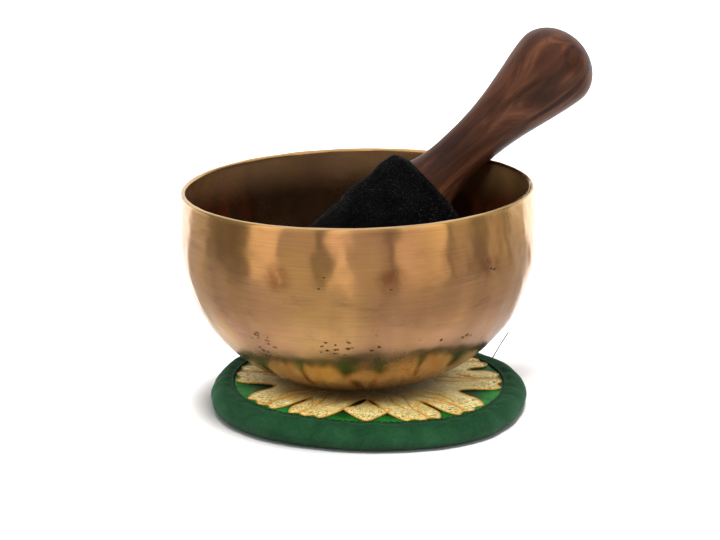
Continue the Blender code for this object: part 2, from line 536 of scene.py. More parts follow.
@dataclass(frozen=True)
class AgedBronze:
    """Hand-beaten bronze, brushed round the bowl, with brown patina, streaks and casting pits."""

    gold: Colour = (0.56, 0.325, 0.125)
    copper: Colour = (0.46, 0.25, 0.135)
    patina: Colour = (0.13, 0.065, 0.03)
    turn: Euler = Euler((0.0, 0.0, 0.0))
    radius: float = 65 * MM
    belly: float = 53 * MM
    low_band: float = 27 * MM
    high_band: float = 53 * MM
    wide_patches: tuple[float, ...] = (-35.0, -8.0, 150.0)
    small_patches: tuple[float, ...] = (5.0, 30.0, 40.0, 95.0)
    high_patches: tuple[float, ...] = (-12.0, 10.0, 45.0, -120.0)
    stain_bearings: tuple[float, ...] = (-25.0, 10.0, 45.0, 140.0)

    def clusters(self) -> list[PitCluster]:
        """Set the pits in a low band on the belly, and a few in a band above it.

        Returns:
            The patches.
        """
        wide = [PitCluster(bearing, self.low_band, 7.5 * MM) for bearing in self.wide_patches]
        small = [PitCluster(bearing, self.low_band, 2.8 * MM) for bearing in self.small_patches]
        high = [PitCluster(bearing, self.high_band, 4 * MM) for bearing in self.high_patches]
        return wide + small + high

    def stains(self) -> list[PitCluster]:
        """Set the brown stains in the upper band."""
        return [PitCluster(bearing, self.high_band, 7 * MM) for bearing in self.stain_bearings]

    def clustered(self, mix: Recipe, own: object, spots: list[PitCluster]) -> object:
        """Give the share of each spot that lies in a patch of pits or a stain.

        Args:
            mix: The material being mixed.
            own: Coordinates about the bowl's axis.
            spots: The patches.

        Returns:
            A share from 0 to 1.
        """
        total = None
        for patch in spots:
            drop = max(self.belly - patch.height, 0.0)
            reach = self.radius - self.belly + math.sqrt(max(self.belly ** 2 - drop ** 2, 0.0))
            turn = math.radians(patch.bearing)
            middle = (reach * math.sin(turn), -reach * math.cos(turn), patch.height)
            away = mix.vector("DISTANCE", own, middle)
            share = mix.fade(away.outputs["Value"], patch.spread, patch.spread * 0.25)
            total = share if total is None else mix.sum("MAXIMUM", total, share)
        return total

    def material(self, centre: Vector) -> bpy.types.Material:
        """Mix the bronze.

        Args:
            centre: Foot of the bowl, where the pattern is centred.

        Returns:
            The material.
        """
        mix = Recipe("aged_bronze")
        own = mix.mapped((1, 1, 1), self.turn, tuple(centre))
        broad = mix.noise(mix.mapped((1, 1, 0.8), source=own), 26, 3, 0.5, 0.4)
        tone = mix.noise(mix.mapped((1, 1, 0.35), source=own), 34, 3, 0.55, 0.3)
        colour = mix.mix(mix.ramp(broad, (0.38, 0.0), (0.62, 1.0)), self.gold, self.copper)
        stain = mix.sum("MULTIPLY", mix.ramp(tone, (0.46, 0.0), (0.70, 1.0)), 0.42)
        colour = mix.mix(stain, colour, self.patina)
        smears = mix.noise(mix.mapped((1, 1, 3.2), source=own), 60, 4, 0.65, 0.5)
        colour = mix.mix(mix.sum("MULTIPLY", mix.ramp(smears, (0.56, 0.0), (0.74, 1.0)), 0.30), colour,
                         self.patina)
        brushed = mix.noise(mix.mapped((1, 1, 45), source=own), 20, 2, 0.6)
        fine = mix.noise(mix.mapped((1, 1, 70), source=own), 44, 2, 0.7)
        colour = mix.mix(mix.ramp(fine, (0.34, 0.16), (0.60, 0.0)), colour, self.patina)
        ragged = mix.noise(own, 900, 2, 0.6)
        holes = mix.cells(mix.mapped((1, 1, 1.9), source=own), 310)
        holes = mix.sum("ADD", holes, mix.sum("MULTIPLY", mix.sum("SUBTRACT", ragged, 0.5), 0.45))
        patches = self.clustered(mix, own, self.clusters())
        stained = self.clustered(mix, own, self.stains())
        torn = mix.ramp(mix.noise(own, 1500, 2, 0.6), (0.40, 0.0), (0.50, 1.0))
        depth = mix.sum("MULTIPLY", mix.ramp(holes, (0.20, 1.0), (0.32, 0.0)),
                        mix.ramp(patches, (0.04, 0.0), (0.30, 1.0)))
        depth = mix.sum("MULTIPLY", depth, torn)
        outside = mix.ramp(mix.marked("inside"), (0.0, 1.0), (0.25, 0.0))
        depth = mix.sum("MULTIPLY", depth, outside)
        stray = mix.ramp(mix.cells(own, 130), (0.022, 1.0), (0.04, 0.0))
        depth = mix.sum("MAXIMUM", depth, mix.sum("MULTIPLY", stray, 0.6))
        colour = mix.mix(mix.sum("MULTIPLY", patches, 0.15), colour, (0.20, 0.07, 0.035))
        blots = mix.ramp(mix.noise(own, 190, 3, 0.6), (0.40, 0.25), (0.62, 0.8))
        colour = mix.mix(mix.sum("MULTIPLY", stained, blots), colour, (0.24, 0.10, 0.045))
        inside = mix.marked("inside")
        # Oxide film inside the bowl, partly real and partly painted shade: darker further below the rim.
        film_and_depth_shade = mix.sum("MULTIPLY", inside, mix.ramp(tone, (0.30, 0.15), (0.65, 0.55)))
        colour = mix.mix(film_and_depth_shade, colour, (0.28, 0.11, 0.045))
        # Paler bronze along the lip: a painted highlight.
        colour = mix.mix(mix.sum("MULTIPLY", mix.marked("lip"), 0.35), colour, (0.80, 0.54, 0.24))
        colour = mix.mix(mix.sum("MULTIPLY", depth, 0.9), colour, (0.022, 0.012, 0.008))
        rough = mix.ramp(mix.noise(own, 46, 4, 0.6), (0.3, 0.19), (0.7, 0.30))
        lines = mix.bump(brushed, 0.010 * MM)
        lines = mix.bump(fine, 0.005 * MM, lines)
        lines = mix.bump(mix.sum("SUBTRACT", 1.0, depth), 0.2 * MM, lines)
        flat = mix.vector("CROSS_PRODUCT", (0, 0, 1), own)
        return mix.finish({
            "Base Color": colour, "Metallic": mix.ramp(inside, (0.0, 1.0), (0.3, 0.76), (1.0, 0.98)),
            "Roughness": rough, "Normal": lines, "Specular IOR Level": 0.3,
            "Anisotropic": 0.5, "Anisotropic Rotation": 0.25, "Tangent": flat.outputs["Vector"],
        })


@dataclass(frozen=True)
class Rosewood:
    """Dark oiled hardwood with long grain and open pores."""

    dark: Colour = (0.011, 0.0038, 0.0024)
    middle: Colour = (0.045, 0.0155, 0.0078)
    light: Colour = (0.115, 0.044, 0.022)

    def material(self, stands: Matrix) -> bpy.types.Material:
        """Mix the wood.

        Args:
            stands: How the handle stands, so that its grain follows its axis.

        Returns:
            The material.
        """
        mix = Recipe("rosewood")
        own = mix.mapped((1, 1, 1), stands.to_euler(), tuple(stands.translation))
        long_grain = mix.mapped((1, 1, 0.09), source=own)
        bands = mix.noise(long_grain, 150, 4, 0.6, 1.2)
        figure = mix.noise(mix.mapped((1, 1, 0.22), source=own), 60, 3, 0.5, 0.8)
        share = mix.sum("ADD", mix.sum("MULTIPLY", bands, 0.65), mix.sum("MULTIPLY", figure, 0.35))
        colour = mix.ramp(share, (0.34, self.dark), (0.50, self.middle), (0.66, self.light))
        pores = mix.ramp(mix.cells(mix.mapped((1, 1, 0.075), source=own), 900), (0.12, 1.0), (0.24, 0.0))
        open_pores = mix.sum("MULTIPLY", pores, mix.ramp(figure, (0.42, 0.2), (0.58, 1.0)))
        colour = mix.mix(mix.sum("MULTIPLY", open_pores, 0.75), colour, (0.012, 0.006, 0.005))
        rough = mix.ramp(bands, (0.35, 0.36), (0.65, 0.50))
        grain = mix.bump(bands, 0.05 * MM)
        grain = mix.bump(mix.sum("SUBTRACT", 1.0, open_pores), 0.08 * MM, grain)
        return mix.finish({
            "Base Color": colour, "Roughness": rough, "Normal": grain,
            "Specular IOR Level": 0.15,
        })


class Nap(Enum):
    """How deep the pile of a cloth looks."""

    FELT = 1.0
    VELVET = 0.6
    PLAIN = 0.15


@dataclass(frozen=True)
class PileCloth:
    """Felt, velvet or plain cotton: a dyed cloth with a soft pile and cloudy colour."""

    name: str
    deep: Colour
    bright: Colour
    tint: Colour
    nap: Nap
    sheen: float = 0.6
    shine: float = 0.2

    def material(self) -> bpy.types.Material:
        """Mix the cloth.

        Returns:
            The material.
        """
        mix = Recipe(self.name)
        clouds = mix.noise(mix.place, 95, 4, 0.6, 0.5)
        tufts = mix.noise(mix.place, 900, 3, 0.7)
        share = mix.sum("ADD", mix.sum("MULTIPLY", clouds, 0.6), mix.sum("MULTIPLY", tufts, 0.4))
        colour = mix.ramp(share, (0.34, self.deep), (0.66, self.bright))
        fibres = mix.noise(mix.mapped((1, 1, 0.5)), 2600, 2, 0.6)
        pile = mix.bump(tufts, 0.25 * MM * self.nap.value)
        pile = mix.bump(fibres, 0.10 * MM * self.nap.value, pile)
        return mix.finish({
            "Base Color": colour, "Roughness": 0.92, "Normal": pile, "Sheen Weight": self.sheen,
            "Sheen Roughness": 0.45, "Sheen Tint": self.tint, "Specular IOR Level": self.shine,
        })


@dataclass(frozen=True)
class Satin:
    """Bright green satin with fine ribs."""

    deep: Colour = (0.004, 0.070, 0.010)
    bright: Colour = (0.020, 0.24, 0.036)

    def material(self) -> bpy.types.Material:
        """Mix the satin, with painted shade darkening it round the bowl's foot.

        Returns:
            The material.
        """
        mix = Recipe("green_satin")
        ribs = mix.noise(mix.mapped((1, 0.06, 1)), 2400, 1, 0.5)
        folds = mix.noise(mix.place, 110, 3, 0.5)
        colour = mix.mix(mix.ramp(folds, (0.35, 0.0), (0.65, 1.0)), self.deep, self.bright)
        colour = mix.mix(mix.ramp(ribs, (0.35, 0.35), (0.6, 0.0)), colour, self.deep)
        # Painted shade: the satin darkens towards the middle, where the bowl's shadow falls.
        colour = mix.mix(mix.near_middle(39 * MM, 51 * MM), colour, (0.002, 0.020, 0.004))
        weave = mix.bump(ribs, 0.03 * MM)
        weave = mix.bump(folds, 0.3 * MM, weave)
        return mix.finish({
            "Base Color": colour, "Roughness": 0.45, "Normal": weave, "Anisotropic": 0.2,
            "Sheen Weight": 0.0, "Specular IOR Level": 0.05,
        })


@dataclass(frozen=True)
class Brocade:
    """Cream and gold metal thread, woven in fine lines along each petal, with dark gaps."""

    cream: Colour = (0.97, 0.86, 0.40)
    gold: Colour = (0.80, 0.62, 0.21)
    shade: Colour = (0.07, 0.045, 0.012)

    def material(self) -> bpy.types.Material:
        """Mix the brocade; its pattern follows the piece's own map, in millimetres.

        Returns:
            The material.
        """
        mix = Recipe("gold_brocade")
        chart = mix.nodes.new("ShaderNodeUVMap")
        chart.uv_map = "weave"
        along = chart.outputs["UV"]
        threads = mix.noise(mix.mapped((1.7, 0.62, 1), source=along), 1.0, 2, 0.6)
        swirls = mix.noise(mix.mapped((0.32, 0.22, 1), source=along), 1.0, 3, 0.55, 2.0)
        clouds = mix.noise(mix.mapped((0.12, 0.12, 1), source=along), 1.0, 3, 0.6)
        colour = mix.mix(mix.ramp(clouds, (0.36, 0.0), (0.62, 1.0)), self.cream, self.gold)
        folded = mix.sum("PINGPONG", mix.sum("MULTIPLY", swirls, 9.0), 0.5)
        lines = mix.ramp(folded, (0.03, 1.0), (0.13, 0.0))
        colour = mix.mix(mix.sum("MULTIPLY", lines, 0.9), colour, (0.15, 0.065, 0.014))
        tips = mix.ramp(mix.near_middle(36 * MM, 46 * MM), (0.0, 1.0), (1.0, 0.35))
        dark = mix.sum("MULTIPLY", mix.ramp(threads, (0.36, 0.95), (0.49, 0.0)), tips)
        colour = mix.mix(dark, colour, self.shade)
        gaps = mix.ramp(mix.cells(mix.mapped((1.5, 1.1, 1), source=along), 1.0), (0.10, 1.0), (0.22, 0.0))
        colour = mix.mix(mix.sum("MULTIPLY", gaps, 0.85), colour, (0.02, 0.025, 0.015))
        # Painted shade: the brocade darkens towards the bowl's foot, where the bowl's shadow falls.
        wear_and_shade = mix.sum("MULTIPLY", mix.near_middle(20 * MM, 42 * MM), 0.30)
        colour = mix.mix(wear_and_shade, colour, (0.10, 0.07, 0.025))
        relief = mix.bump(threads, 0.06 * MM)
        relief = mix.bump(mix.sum("ADD", lines, gaps), -0.08 * MM, relief)
        return mix.finish({
            "Base Color": colour, "Roughness": 0.5, "Metallic": 0.1, "Normal": relief,
            "Specular IOR Level": 0.2, "Sheen Weight": 0.02, "Sheen Tint": (1.0, 0.9, 0.6),
        })


@dataclass(frozen=True)
class Thread:
    """Twisted sewing or outline thread."""

    name: str
    colour: Colour
    shade: Colour
    rough: float = 0.6
    metal: float = 0.0

    def material(self) -> bpy.types.Material:
        """Mix the thread.

        Returns:
            The material.
        """
        mix = Recipe(self.name)
        twist = mix.noise(mix.place, 2600, 2, 0.6)
        wear_and_shade = mix.noise(mix.place, 240, 2, 0.5)
        colour = mix.mix(mix.ramp(twist, (0.38, 0.8), (0.6, 0.0)), self.colour, self.shade)
        colour = mix.mix(mix.ramp(wear_and_shade, (0.4, 0.4), (0.6, 0.0)), colour, self.shade)
        return mix.finish({
            "Base Color": colour, "Roughness": self.rough, "Metallic": self.metal,
            "Normal": mix.bump(twist, 0.08 * MM),
        })


# ---------------------------------------------------------------------------------------------
# Geometry node trees for what repeats
# ---------------------------------------------------------------------------------------------


class Tree:
    """A geometry node tree being built, with a mesh or curve coming in and one mesh going out."""

    def __init__(self, name: str) -> None:
        """Start a tree with its input and output sockets.

        Args:
            name: Name of the tree.
        """
        self.group = bpy.data.node_groups.new(name, "GeometryNodeTree")
        for way in ("INPUT", "OUTPUT"):
            self.group.interface.new_socket("Shape", in_out=way, socket_type="NodeSocketGeometry")
        self.entry = self.group.nodes.new("NodeGroupInput")
        self.exit = self.group.nodes.new("NodeGroupOutput")

    def size(self, name: str, value: float) -> None:
        """Add a named number to the tree's inputs."""
        socket = self.group.interface.new_socket(name, in_out="INPUT", socket_type="NodeSocketFloat")
        socket.default_value = value

    def given(self, name: str) -> object:
        """Give one of the tree's inputs."""
        return self.entry.outputs[name]

    def add(self, kind: str, inputs: dict[str | int, object] | None = None, **options: object) -> object:
        """Add a node.

        Args:
            kind: Its type, without the words that all share.
            inputs: Its inputs by name or number, each a socket or a plain value.
            options: Its own settings.

        Returns:
            The node.
        """
        full = kind if kind.startswith(("ShaderNode", "FunctionNode")) else "GeometryNode" + kind
        node = self.group.nodes.new(full)
        for key, value in options.items():
            setattr(node, key, value)
        for key, value in (inputs or {}).items():
            if isinstance(value, bpy.types.NodeSocket):
                self.group.links.new(value, node.inputs[key])
            else:
                node.inputs[key].default_value = value
        return node

    def close(self, shape: object, material: bpy.types.Material) -> None:
        """Make the result plain, give it its material and send it out.

        Args:
            shape: Socket of the result.
            material: Its material.
        """
        plain = self.add("RealizeInstances", {"Geometry": shape})
        dressed = self.add("SetMaterial", {"Geometry": plain.outputs["Geometry"], "Material": material})
        self.group.links.new(dressed.outputs["Geometry"], self.exit.inputs["Shape"])

    def grow(self, source: bpy.types.Object, name: str, sizes: dict[str, float]) -> bpy.types.Object:
        """Run the tree on an object and keep the result as a plain mesh.

        Args:
            source: What the tree works on; its own shape isn't changed.
            name: Name of the new piece.
            sizes: Values for the tree's named inputs.

        Returns:
            The new piece.
        """
        modifier = source.modifiers.new("Grow", "NODES")
        modifier.node_group = self.group
        for item in self.group.interface.items_tree:
            if item.in_out == "INPUT" and item.name in sizes:
                modifier[item.identifier] = sizes[item.name]
        graph = bpy.context.evaluated_depsgraph_get()
        mesh = bpy.data.meshes.new_from_object(source.evaluated_get(graph), depsgraph=graph)
        source.modifiers.remove(modifier)
        mesh.name = name
        return put_in_scene(name, mesh)


@dataclass
class Fuzz:
    """Loose fibres that stand out of a felt or velvet surface."""

    name: str
    density: float
    length: float
    thickness: float
    lowest: float
    material: bpy.types.Material
    seed: int

    def grown_on(self, cloth: bpy.types.Object) -> bpy.types.Object:
        """Grow the fibres on a cloth.

        Args:
            cloth: The finished mesh of the cloth.

        Returns:
            The fibres as a plain mesh.
        """
        tree = Tree(self.name)
        tree.size("Density", self.density)
        tree.size("Length", self.length)
        tree.size("Thickness", self.thickness)
        tree.size("Lowest", self.lowest)
        position = tree.add("InputPosition")
        spot = tree.add("ShaderNodeSeparateXYZ", {"Vector": position.outputs["Position"]})
        clear = tree.add("FunctionNodeCompare", {0: spot.outputs["Z"], 1: tree.given("Lowest")},
                         data_type="FLOAT", operation="GREATER_THAN")
        spots = tree.add("DistributePointsOnFaces", {
            "Mesh": tree.given("Shape"), "Density": tree.given("Density"), "Seed": self.seed,
            "Selection": clear.outputs["Result"],
        })
        fibre = tree.add("MeshCone", {
            "Vertices": 3, "Radius Top": 0.0, "Radius Bottom": tree.given("Thickness"),
            "Depth": tree.given("Length"),
        })
        tilt = tree.add("FunctionNodeRandomValue", {0: (-1.0, -1.0, -3.1), 1: (1.0, 1.0, 3.1), "Seed": 5},
                        data_type="FLOAT_VECTOR")
        tilted = tree.add("FunctionNodeRotateEuler", {
            "Rotation": spots.outputs["Rotation"], "Rotate By": tilt.outputs[0],
        }, space="LOCAL")
        longer = tree.add("FunctionNodeRandomValue", {2: 0.35, 3: 1.25, "Seed": 8}, data_type="FLOAT")
        placed = tree.add("InstanceOnPoints", {
            "Points": spots.outputs["Points"], "Instance": fibre.outputs["Mesh"],
            "Rotation": tilted.outputs["Rotation"], "Scale": longer.outputs[1],
        })
        tree.close(placed.outputs["Instances"], self.material)
        return tree.grow(cloth, self.name, {
            "Density": self.density, "Length": self.length, "Thickness": self.thickness,
            "Lowest": self.lowest,
        })


@dataclass
class Stitching:
    """A row of short stitches along a closed seam."""

    name: str
    pitch: float
    length: float
    thickness: float
    material: bpy.types.Material

    def sewn_along(self, seam: np.ndarray) -> bpy.types.Object:
        """Sew the stitches.

        Args:
            seam: Points of the closed seam line.

        Returns:
            The stitches as a plain mesh.
        """
        path = line_object(self.name + "_path", [seam], True)
        tree = Tree(self.name)
        tree.size("Pitch", self.pitch)
        tree.size("Stitch length", self.length)
        tree.size("Thickness", self.thickness)
        along = tree.add("ResampleCurve", {"Curve": tree.given("Shape"), "Length": tree.given("Pitch")},
                         mode="LENGTH")
        spots = tree.add("CurveToPoints", {"Curve": along.outputs["Curve"]}, mode="EVALUATED")
        stitch = tree.add("MeshUVSphere", {"Segments": 8, "Rings": 6, "Radius": 0.5})
        half = tree.add("ShaderNodeCombineXYZ", {
            "X": tree.given("Thickness"), "Y": tree.given("Thickness"), "Z": tree.given("Stitch length"),
        })
        uneven = tree.add("FunctionNodeRandomValue", {0: (0.85, 0.85, 0.8), 1: (1.1, 1.1, 1.15), "Seed": 3},
                          data_type="FLOAT_VECTOR")
        scale = tree.add("ShaderNodeVectorMath", {0: half.outputs["Vector"], 1: uneven.outputs[0]},
                         operation="MULTIPLY")
        slant = tree.add("FunctionNodeRandomValue",
                         {0: (-0.12, -0.12, 0.0), 1: (0.12, 0.12, 0.0), "Seed": 4},
                         data_type="FLOAT_VECTOR")
        turned = tree.add("FunctionNodeRotateEuler", {
            "Rotation": spots.outputs["Rotation"], "Rotate By": slant.outputs[0],
        }, space="LOCAL")
        placed = tree.add("InstanceOnPoints", {
            "Points": spots.outputs["Points"], "Instance": stitch.outputs["Mesh"],
            "Rotation": turned.outputs["Rotation"], "Scale": scale.outputs["Vector"],
        })
        tree.close(placed.outputs["Instances"], self.material)
        piece = tree.grow(path, self.name, {
            "Pitch": self.pitch, "Stitch length": self.length, "Thickness": self.thickness,
        })
        bpy.data.objects.remove(path)
        return piece


@dataclass
class OutlineCord:
    """Thin embroidered cord laid along lines."""

    name: str
    width: float
    height: float
    material: bpy.types.Material

    def laid_along(self, lines: list[np.ndarray]) -> bpy.types.Object:
        """Lay the cord.

        Args:
            lines: The lines, each as rows of points.

        Returns:
            The cord as a plain mesh.
        """
        path = line_object(self.name + "_path", lines, False)
        tree = Tree(self.name)
        tree.size("Width", self.width)
        tree.size("Height", self.height)
        circle = tree.add("CurvePrimitiveCircle", {"Resolution": 6, "Radius": 0.5}, mode="RADIUS")
        flat = tree.add("ShaderNodeCombineXYZ", {
            "X": tree.given("Height"), "Y": tree.given("Width"), "Z": 1.0,
        })
        section = tree.add("Transform", {
            "Geometry": circle.outputs["Curve"], "Scale": flat.outputs["Vector"],
        })
        up = tree.add("SetCurveNormal", {"Curve": tree.given("Shape")}, mode="Z_UP")
        swept = tree.add("CurveToMesh", {
            "Curve": up.outputs["Curve"], "Profile Curve": section.outputs["Geometry"], "Fill Caps": True,
        })
        smooth = tree.add("SetShadeSmooth", {"Geometry": swept.outputs["Mesh"]})
        tree.close(smooth.outputs["Geometry"], self.material)
        piece = tree.grow(path, self.name, {})
        bpy.data.objects.remove(path)
        return piece


def line_object(name: str, lines: list[np.ndarray], closed: bool) -> bpy.types.Object:
    """Make a curve object from lines of points.

    Args:
        name: Name of the object.
        lines: The lines, each as rows of points.
        closed: Whether each line joins its own start.

    Returns:
        The curve object.
    """
    curve = bpy.data.curves.new(name, "CURVE")
    curve.dimensions = "3D"
    for line in lines:
        spline = curve.splines.new("POLY")
        spline.points.add(len(line) - 1)
        spline.points.foreach_set("co", np.hstack([line, np.ones((len(line), 1))]).ravel())
        spline.use_cyclic_u = closed
    return put_in_scene(name, curve)


# ---------------------------------------------------------------------------------------------
# Bowl
# ---------------------------------------------------------------------------------------------


@dataclass
class Bowl:
    """The hand-beaten bowl: round belly, upright wall, rounded lip and small flat foot."""

    radius: float = 65.0 * MM
    height: float = 71.5 * MM
    wall: float = 1.9 * MM
    foot_radius: float = 12.0 * MM
    rim_inset: float = 0.9 * MM
    lean: float = math.radians(1.3)
    steps: int = 440
    beaten: Unevenness = Unevenness(15 * MM, 0.085 * MM, 11)
    dimpled: Unevenness = Unevenness(6.5 * MM, 0.022 * MM, 12)
    ovalness: Unevenness = Unevenness(90 * MM, 0.25 * MM, 13)

    @property
    def belly(self) -> float:
        """Radius of the belly's round, from the foot to the wall."""
        return self.radius - self.foot_radius

    def wall_line(self, inset: float, count: int) -> Outline:
        """Give the upper wall, from above the belly to under the lip.

        Args:
            inset: How far inside the wall's outer side the line lies.
            count: Number of points.

        Returns:
            Points as distance from the axis and height.
        """
        rise = self.height - self.wall / 2 - self.belly
        shares = [i / count for i in range(1, count + 1)]
        return [(self.radius - inset - self.rim_inset * t * t, self.belly + rise * t) for t in shares]

    def profile(self) -> Outline:
        """Give the section: the inside from the floor up, over the lip, and down the outside.

        Returns:
            Points as distance from the axis and height.
        """
        centre = (self.foot_radius, self.belly)
        floor = [(r * MM, self.wall) for r in np.linspace(1, 12, 8)[:-1]]
        inner = arc(centre, self.belly - self.wall, -90, 0, 60) + self.wall_line(self.wall, 15)
        outer = arc(centre, self.belly, -90, 0, 66) + self.wall_line(0.0, 16)
        middle = ((inner[-1][0] + outer[-1][0]) / 2, outer[-1][1])
        lip = arc(middle, self.wall / 2, 180, 0, 10)[1:-1]
        foot = [(r * MM, 0.0) for r in np.linspace(12, 1, 8)[1:]]
        return floor + inner + lip + outer[::-1] + foot

    def build(self) -> bpy.types.Object:
        """Build the bowl where its node stands, with its hand-beaten unevenness.

        Returns:
            The bowl.
        """
        profile = self.profile()
        rows = turned_rows(profile, self.steps)
        normals = row_normals(rows, False)
        lift = self.beaten.at(rows) + self.dimpled.at(rows)
        above_foot = smooth_step(2 * MM, 14 * MM, rows[:, :, 2])
        at_lip = 1 - 0.55 * smooth_step(self.height - 4 * MM, self.height, rows[:, :, 2])
        rows = rows + normals * (lift * above_foot * at_lip)[:, :, None]
        outward = rows * np.array([1.0, 1.0, 0.0]) / self.radius
        oval = self.ovalness.at(rows * np.array([1, 1, 0.3])) * above_foot
        rows = rows + outward * oval[:, :, None]
        piece = shell("singing_bowl", rows, False)
        top = smooth_step(self.height - 1.6 * MM, self.height - 0.5 * MM, rows[:, :, 2])
        mark(piece, "lip", top)
        crest = int(np.argmax([z for _, z in profile]))
        inside = (np.arange(len(profile)) <= crest)[:, None] * np.ones((1, self.steps))
        depth = smooth_step(2 * MM, 17 * MM, self.height - rows[:, :, 2])
        # The inside share grows further below the rim; it darkens the bowl's inside lower down, partly
        # oxide film and partly painted shade.
        mark(piece, "inside", inside * (1 - top) * (0.3 + 0.7 * depth))
        self.stands = standing(profile, Euler((0.0, -self.lean, 0.0)), "bowl")
        place(piece, self.stands)
        return piece

    def dress(self, piece: bpy.types.Object) -> None:
        """Give the bowl its bronze and let it ride and stand for its node.

        Args:
            piece: The finished bowl.
        """
        bronze = AgedBronze(turn=self.stands.to_euler(), radius=self.radius, belly=self.belly)
        piece.data.materials.append(bronze.material(self.stands.translation))
        ride_for(piece, Body.BOWL, "bronze", "bowl")


def ride_for(piece: bpy.types.Object, body: Body, slot: str, *nodes: str) -> None:
    """Let a piece ride on a body and stand for nodes.

    Args:
        piece: The finished piece.
        body: The body it moves with.
        slot: Not used.
        nodes: The nodes that it stands for.
    """
    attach(piece, body.value)
    if nodes:
        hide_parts(*nodes)
    log.info("%s: %d faces, rides on %s", piece.name, len(piece.data.polygons), body.value)


# ---------------------------------------------------------------------------------------------
# Mallet
# ---------------------------------------------------------------------------------------------


@dataclass
class Mallet:
    """Turned rosewood mallet with a felt-covered head, drawn from the head's flat end upwards."""

    head_length: float = 68.4 * MM
    grip_length: float = 76.9 * MM
    knob_radius: float = 16.1 * MM
    knob_dome: float = 13.4 * MM
    neck_radius: float = 9.05 * MM
    neck_below_knob: float = 59.5 * MM
    flare_radius: float = 11.2 * MM
    core_radius: float = 11.0 * MM
    shoulder_radius: float = 17.2 * MM
    head_radius: float = 18.6 * MM
    corner: float = 2.5 * MM
    cover: float = 1.8 * MM
    end_disc: float = 2.6 * MM
    gap: float = 0.3 * MM
    lining_rows: int = 10
    mouth_rows: int = 2
    slope: float = math.radians(41.7)
    heading: float = math.radians(12.0)
    turning: Unevenness = Unevenness(26 * MM, 0.10 * MM, 21)
    felt_bulge: Unevenness = Unevenness(17 * MM, 0.32 * MM, 22)
    felt_lumps: Unevenness = Unevenness(4.5 * MM, 0.10 * MM, 23)

    def grip(self, below_top: float) -> float:
        """Give the radius of the turned grip.

        Args:
            below_top: Distance below the top of the knob.

        Returns:
            The radius there.
        """
        if below_top <= self.knob_dome:
            return self.knob_radius * math.sqrt(1 - (1 - below_top / self.knob_dome) ** 2)
        if below_top <= self.neck_below_knob:
            t = (below_top - self.knob_dome) / (self.neck_below_knob - self.knob_dome)
            swell = (1 + math.cos(math.pi * t ** 0.75)) / 2
            return self.neck_radius + (self.knob_radius - self.neck_radius) * swell
        t = (below_top - self.neck_below_knob) / (self.grip_length - self.neck_below_knob)
        return self.neck_radius + (self.flare_radius - self.neck_radius) * t ** 2.6

    def handle_profile(self) -> Outline:
        """Give the handle's section: knob, neck, flare and the core inside the head.

        Returns:
            Points as distance from the axis and height.
        """
        top = self.head_length + self.grip_length
        dome = [self.knob_dome * (1 - math.cos(math.pi / 2 * i / 26)) for i in range(1, 27)]
        shaft = list(np.linspace(self.knob_dome, self.grip_length, 90)[1:])
        profile = [(self.grip(s), top - s) for s in dome + shaft]
        core_end = self.end_disc + self.gap
        core = [(self.core_radius, z) for z in np.linspace(self.head_length - self.gap, core_end, 12)]
        return profile + core + [(r, core_end) for r in (self.core_radius * 0.6, 1 * MM)]

    def barrel(self, z: float) -> float:
        """Give the felt head's radius at a height above its flat end."""
        t = min(max((self.head_length - 7 * MM - z) / (30 * MM), 0.0), 1.0)
        return self.shoulder_radius + (self.head_radius - self.shoulder_radius) * math.sin(math.pi / 2 * t)

    def cover_profile(self) -> Outline:
        """Give the felt sleeve's section: end round the wood, shoulder, barrel, corner and lining.

        Returns:
            Points as distance from the axis and height.
        """
        mouth = self.flare_radius + self.gap
        edge = arc((self.shoulder_radius - 4.2 * MM, self.head_length - 4.95 * MM), 4.2 * MM, 84, 6, 12)
        end = [(mouth + (edge[0][0] - mouth) * t, self.head_length - 0.75 * MM * t ** 1.5)
               for t in np.linspace(0, 1, 7)[:-1]]
        side = [(self.barrel(z), z) for z in np.linspace(self.head_length - 7 * MM, self.corner, 44)]
        low = arc((self.head_radius - self.corner, self.corner), self.corner, 0, -90, 8)[1:]
        inner = self.shoulder_radius - self.cover
        lining = [(inner, z)
                  for z in np.linspace(0.0, self.head_length - 5.5 * MM, self.lining_rows)]
        close = [(mouth, self.head_length - drop * MM)
                 for drop in np.linspace(2.2, 1.1, self.mouth_rows)]
        return end + edge + side + low + lining + close

    def build_handle(self) -> bpy.types.Object:
        """Build the handle with the slight unevenness of hand turning.

        Returns:
            The handle.
        """
        profile = self.handle_profile()
        rows = turned_rows(profile, 128)
        shaft = smooth_step(self.head_length, self.head_length + 6 * MM, rows[:, :, 2])
        lift = self.turning.at(rows * np.array([0.6, 0.6, 1.0])) * shaft
        rows = rows + row_normals(rows, False) * lift[:, :, None]
        piece = shell("mallet_grip", rows, False)
        lean = Euler((0.0, math.pi / 2 - self.slope, self.heading))
        self.stands = standing(profile, lean, "mallet_handle")
        place(piece, self.stands)
        return piece

    def build_felt(self) -> bpy.types.Object:
        """Build the felt sleeve, lumpy where the wound wool shows through.

        Returns:
            The sleeve.
        """
        rows = turned_rows(self.cover_profile(), 168)
        outside = smooth_step(self.shoulder_radius - 4 * MM, self.shoulder_radius - 1 * MM,
                              np.linalg.norm(rows[:, :, :2], axis=2))
        lift = (self.felt_bulge.at(rows) + self.felt_lumps.at(rows)) * outside
        lift[-(self.lining_rows + self.mouth_rows):] = 0.0
        rows = rows + row_normals(rows, True) * lift[:, :, None]
        piece = shell("felt_sleeve", rows, True)
        place(piece, self.stands)
        return piece

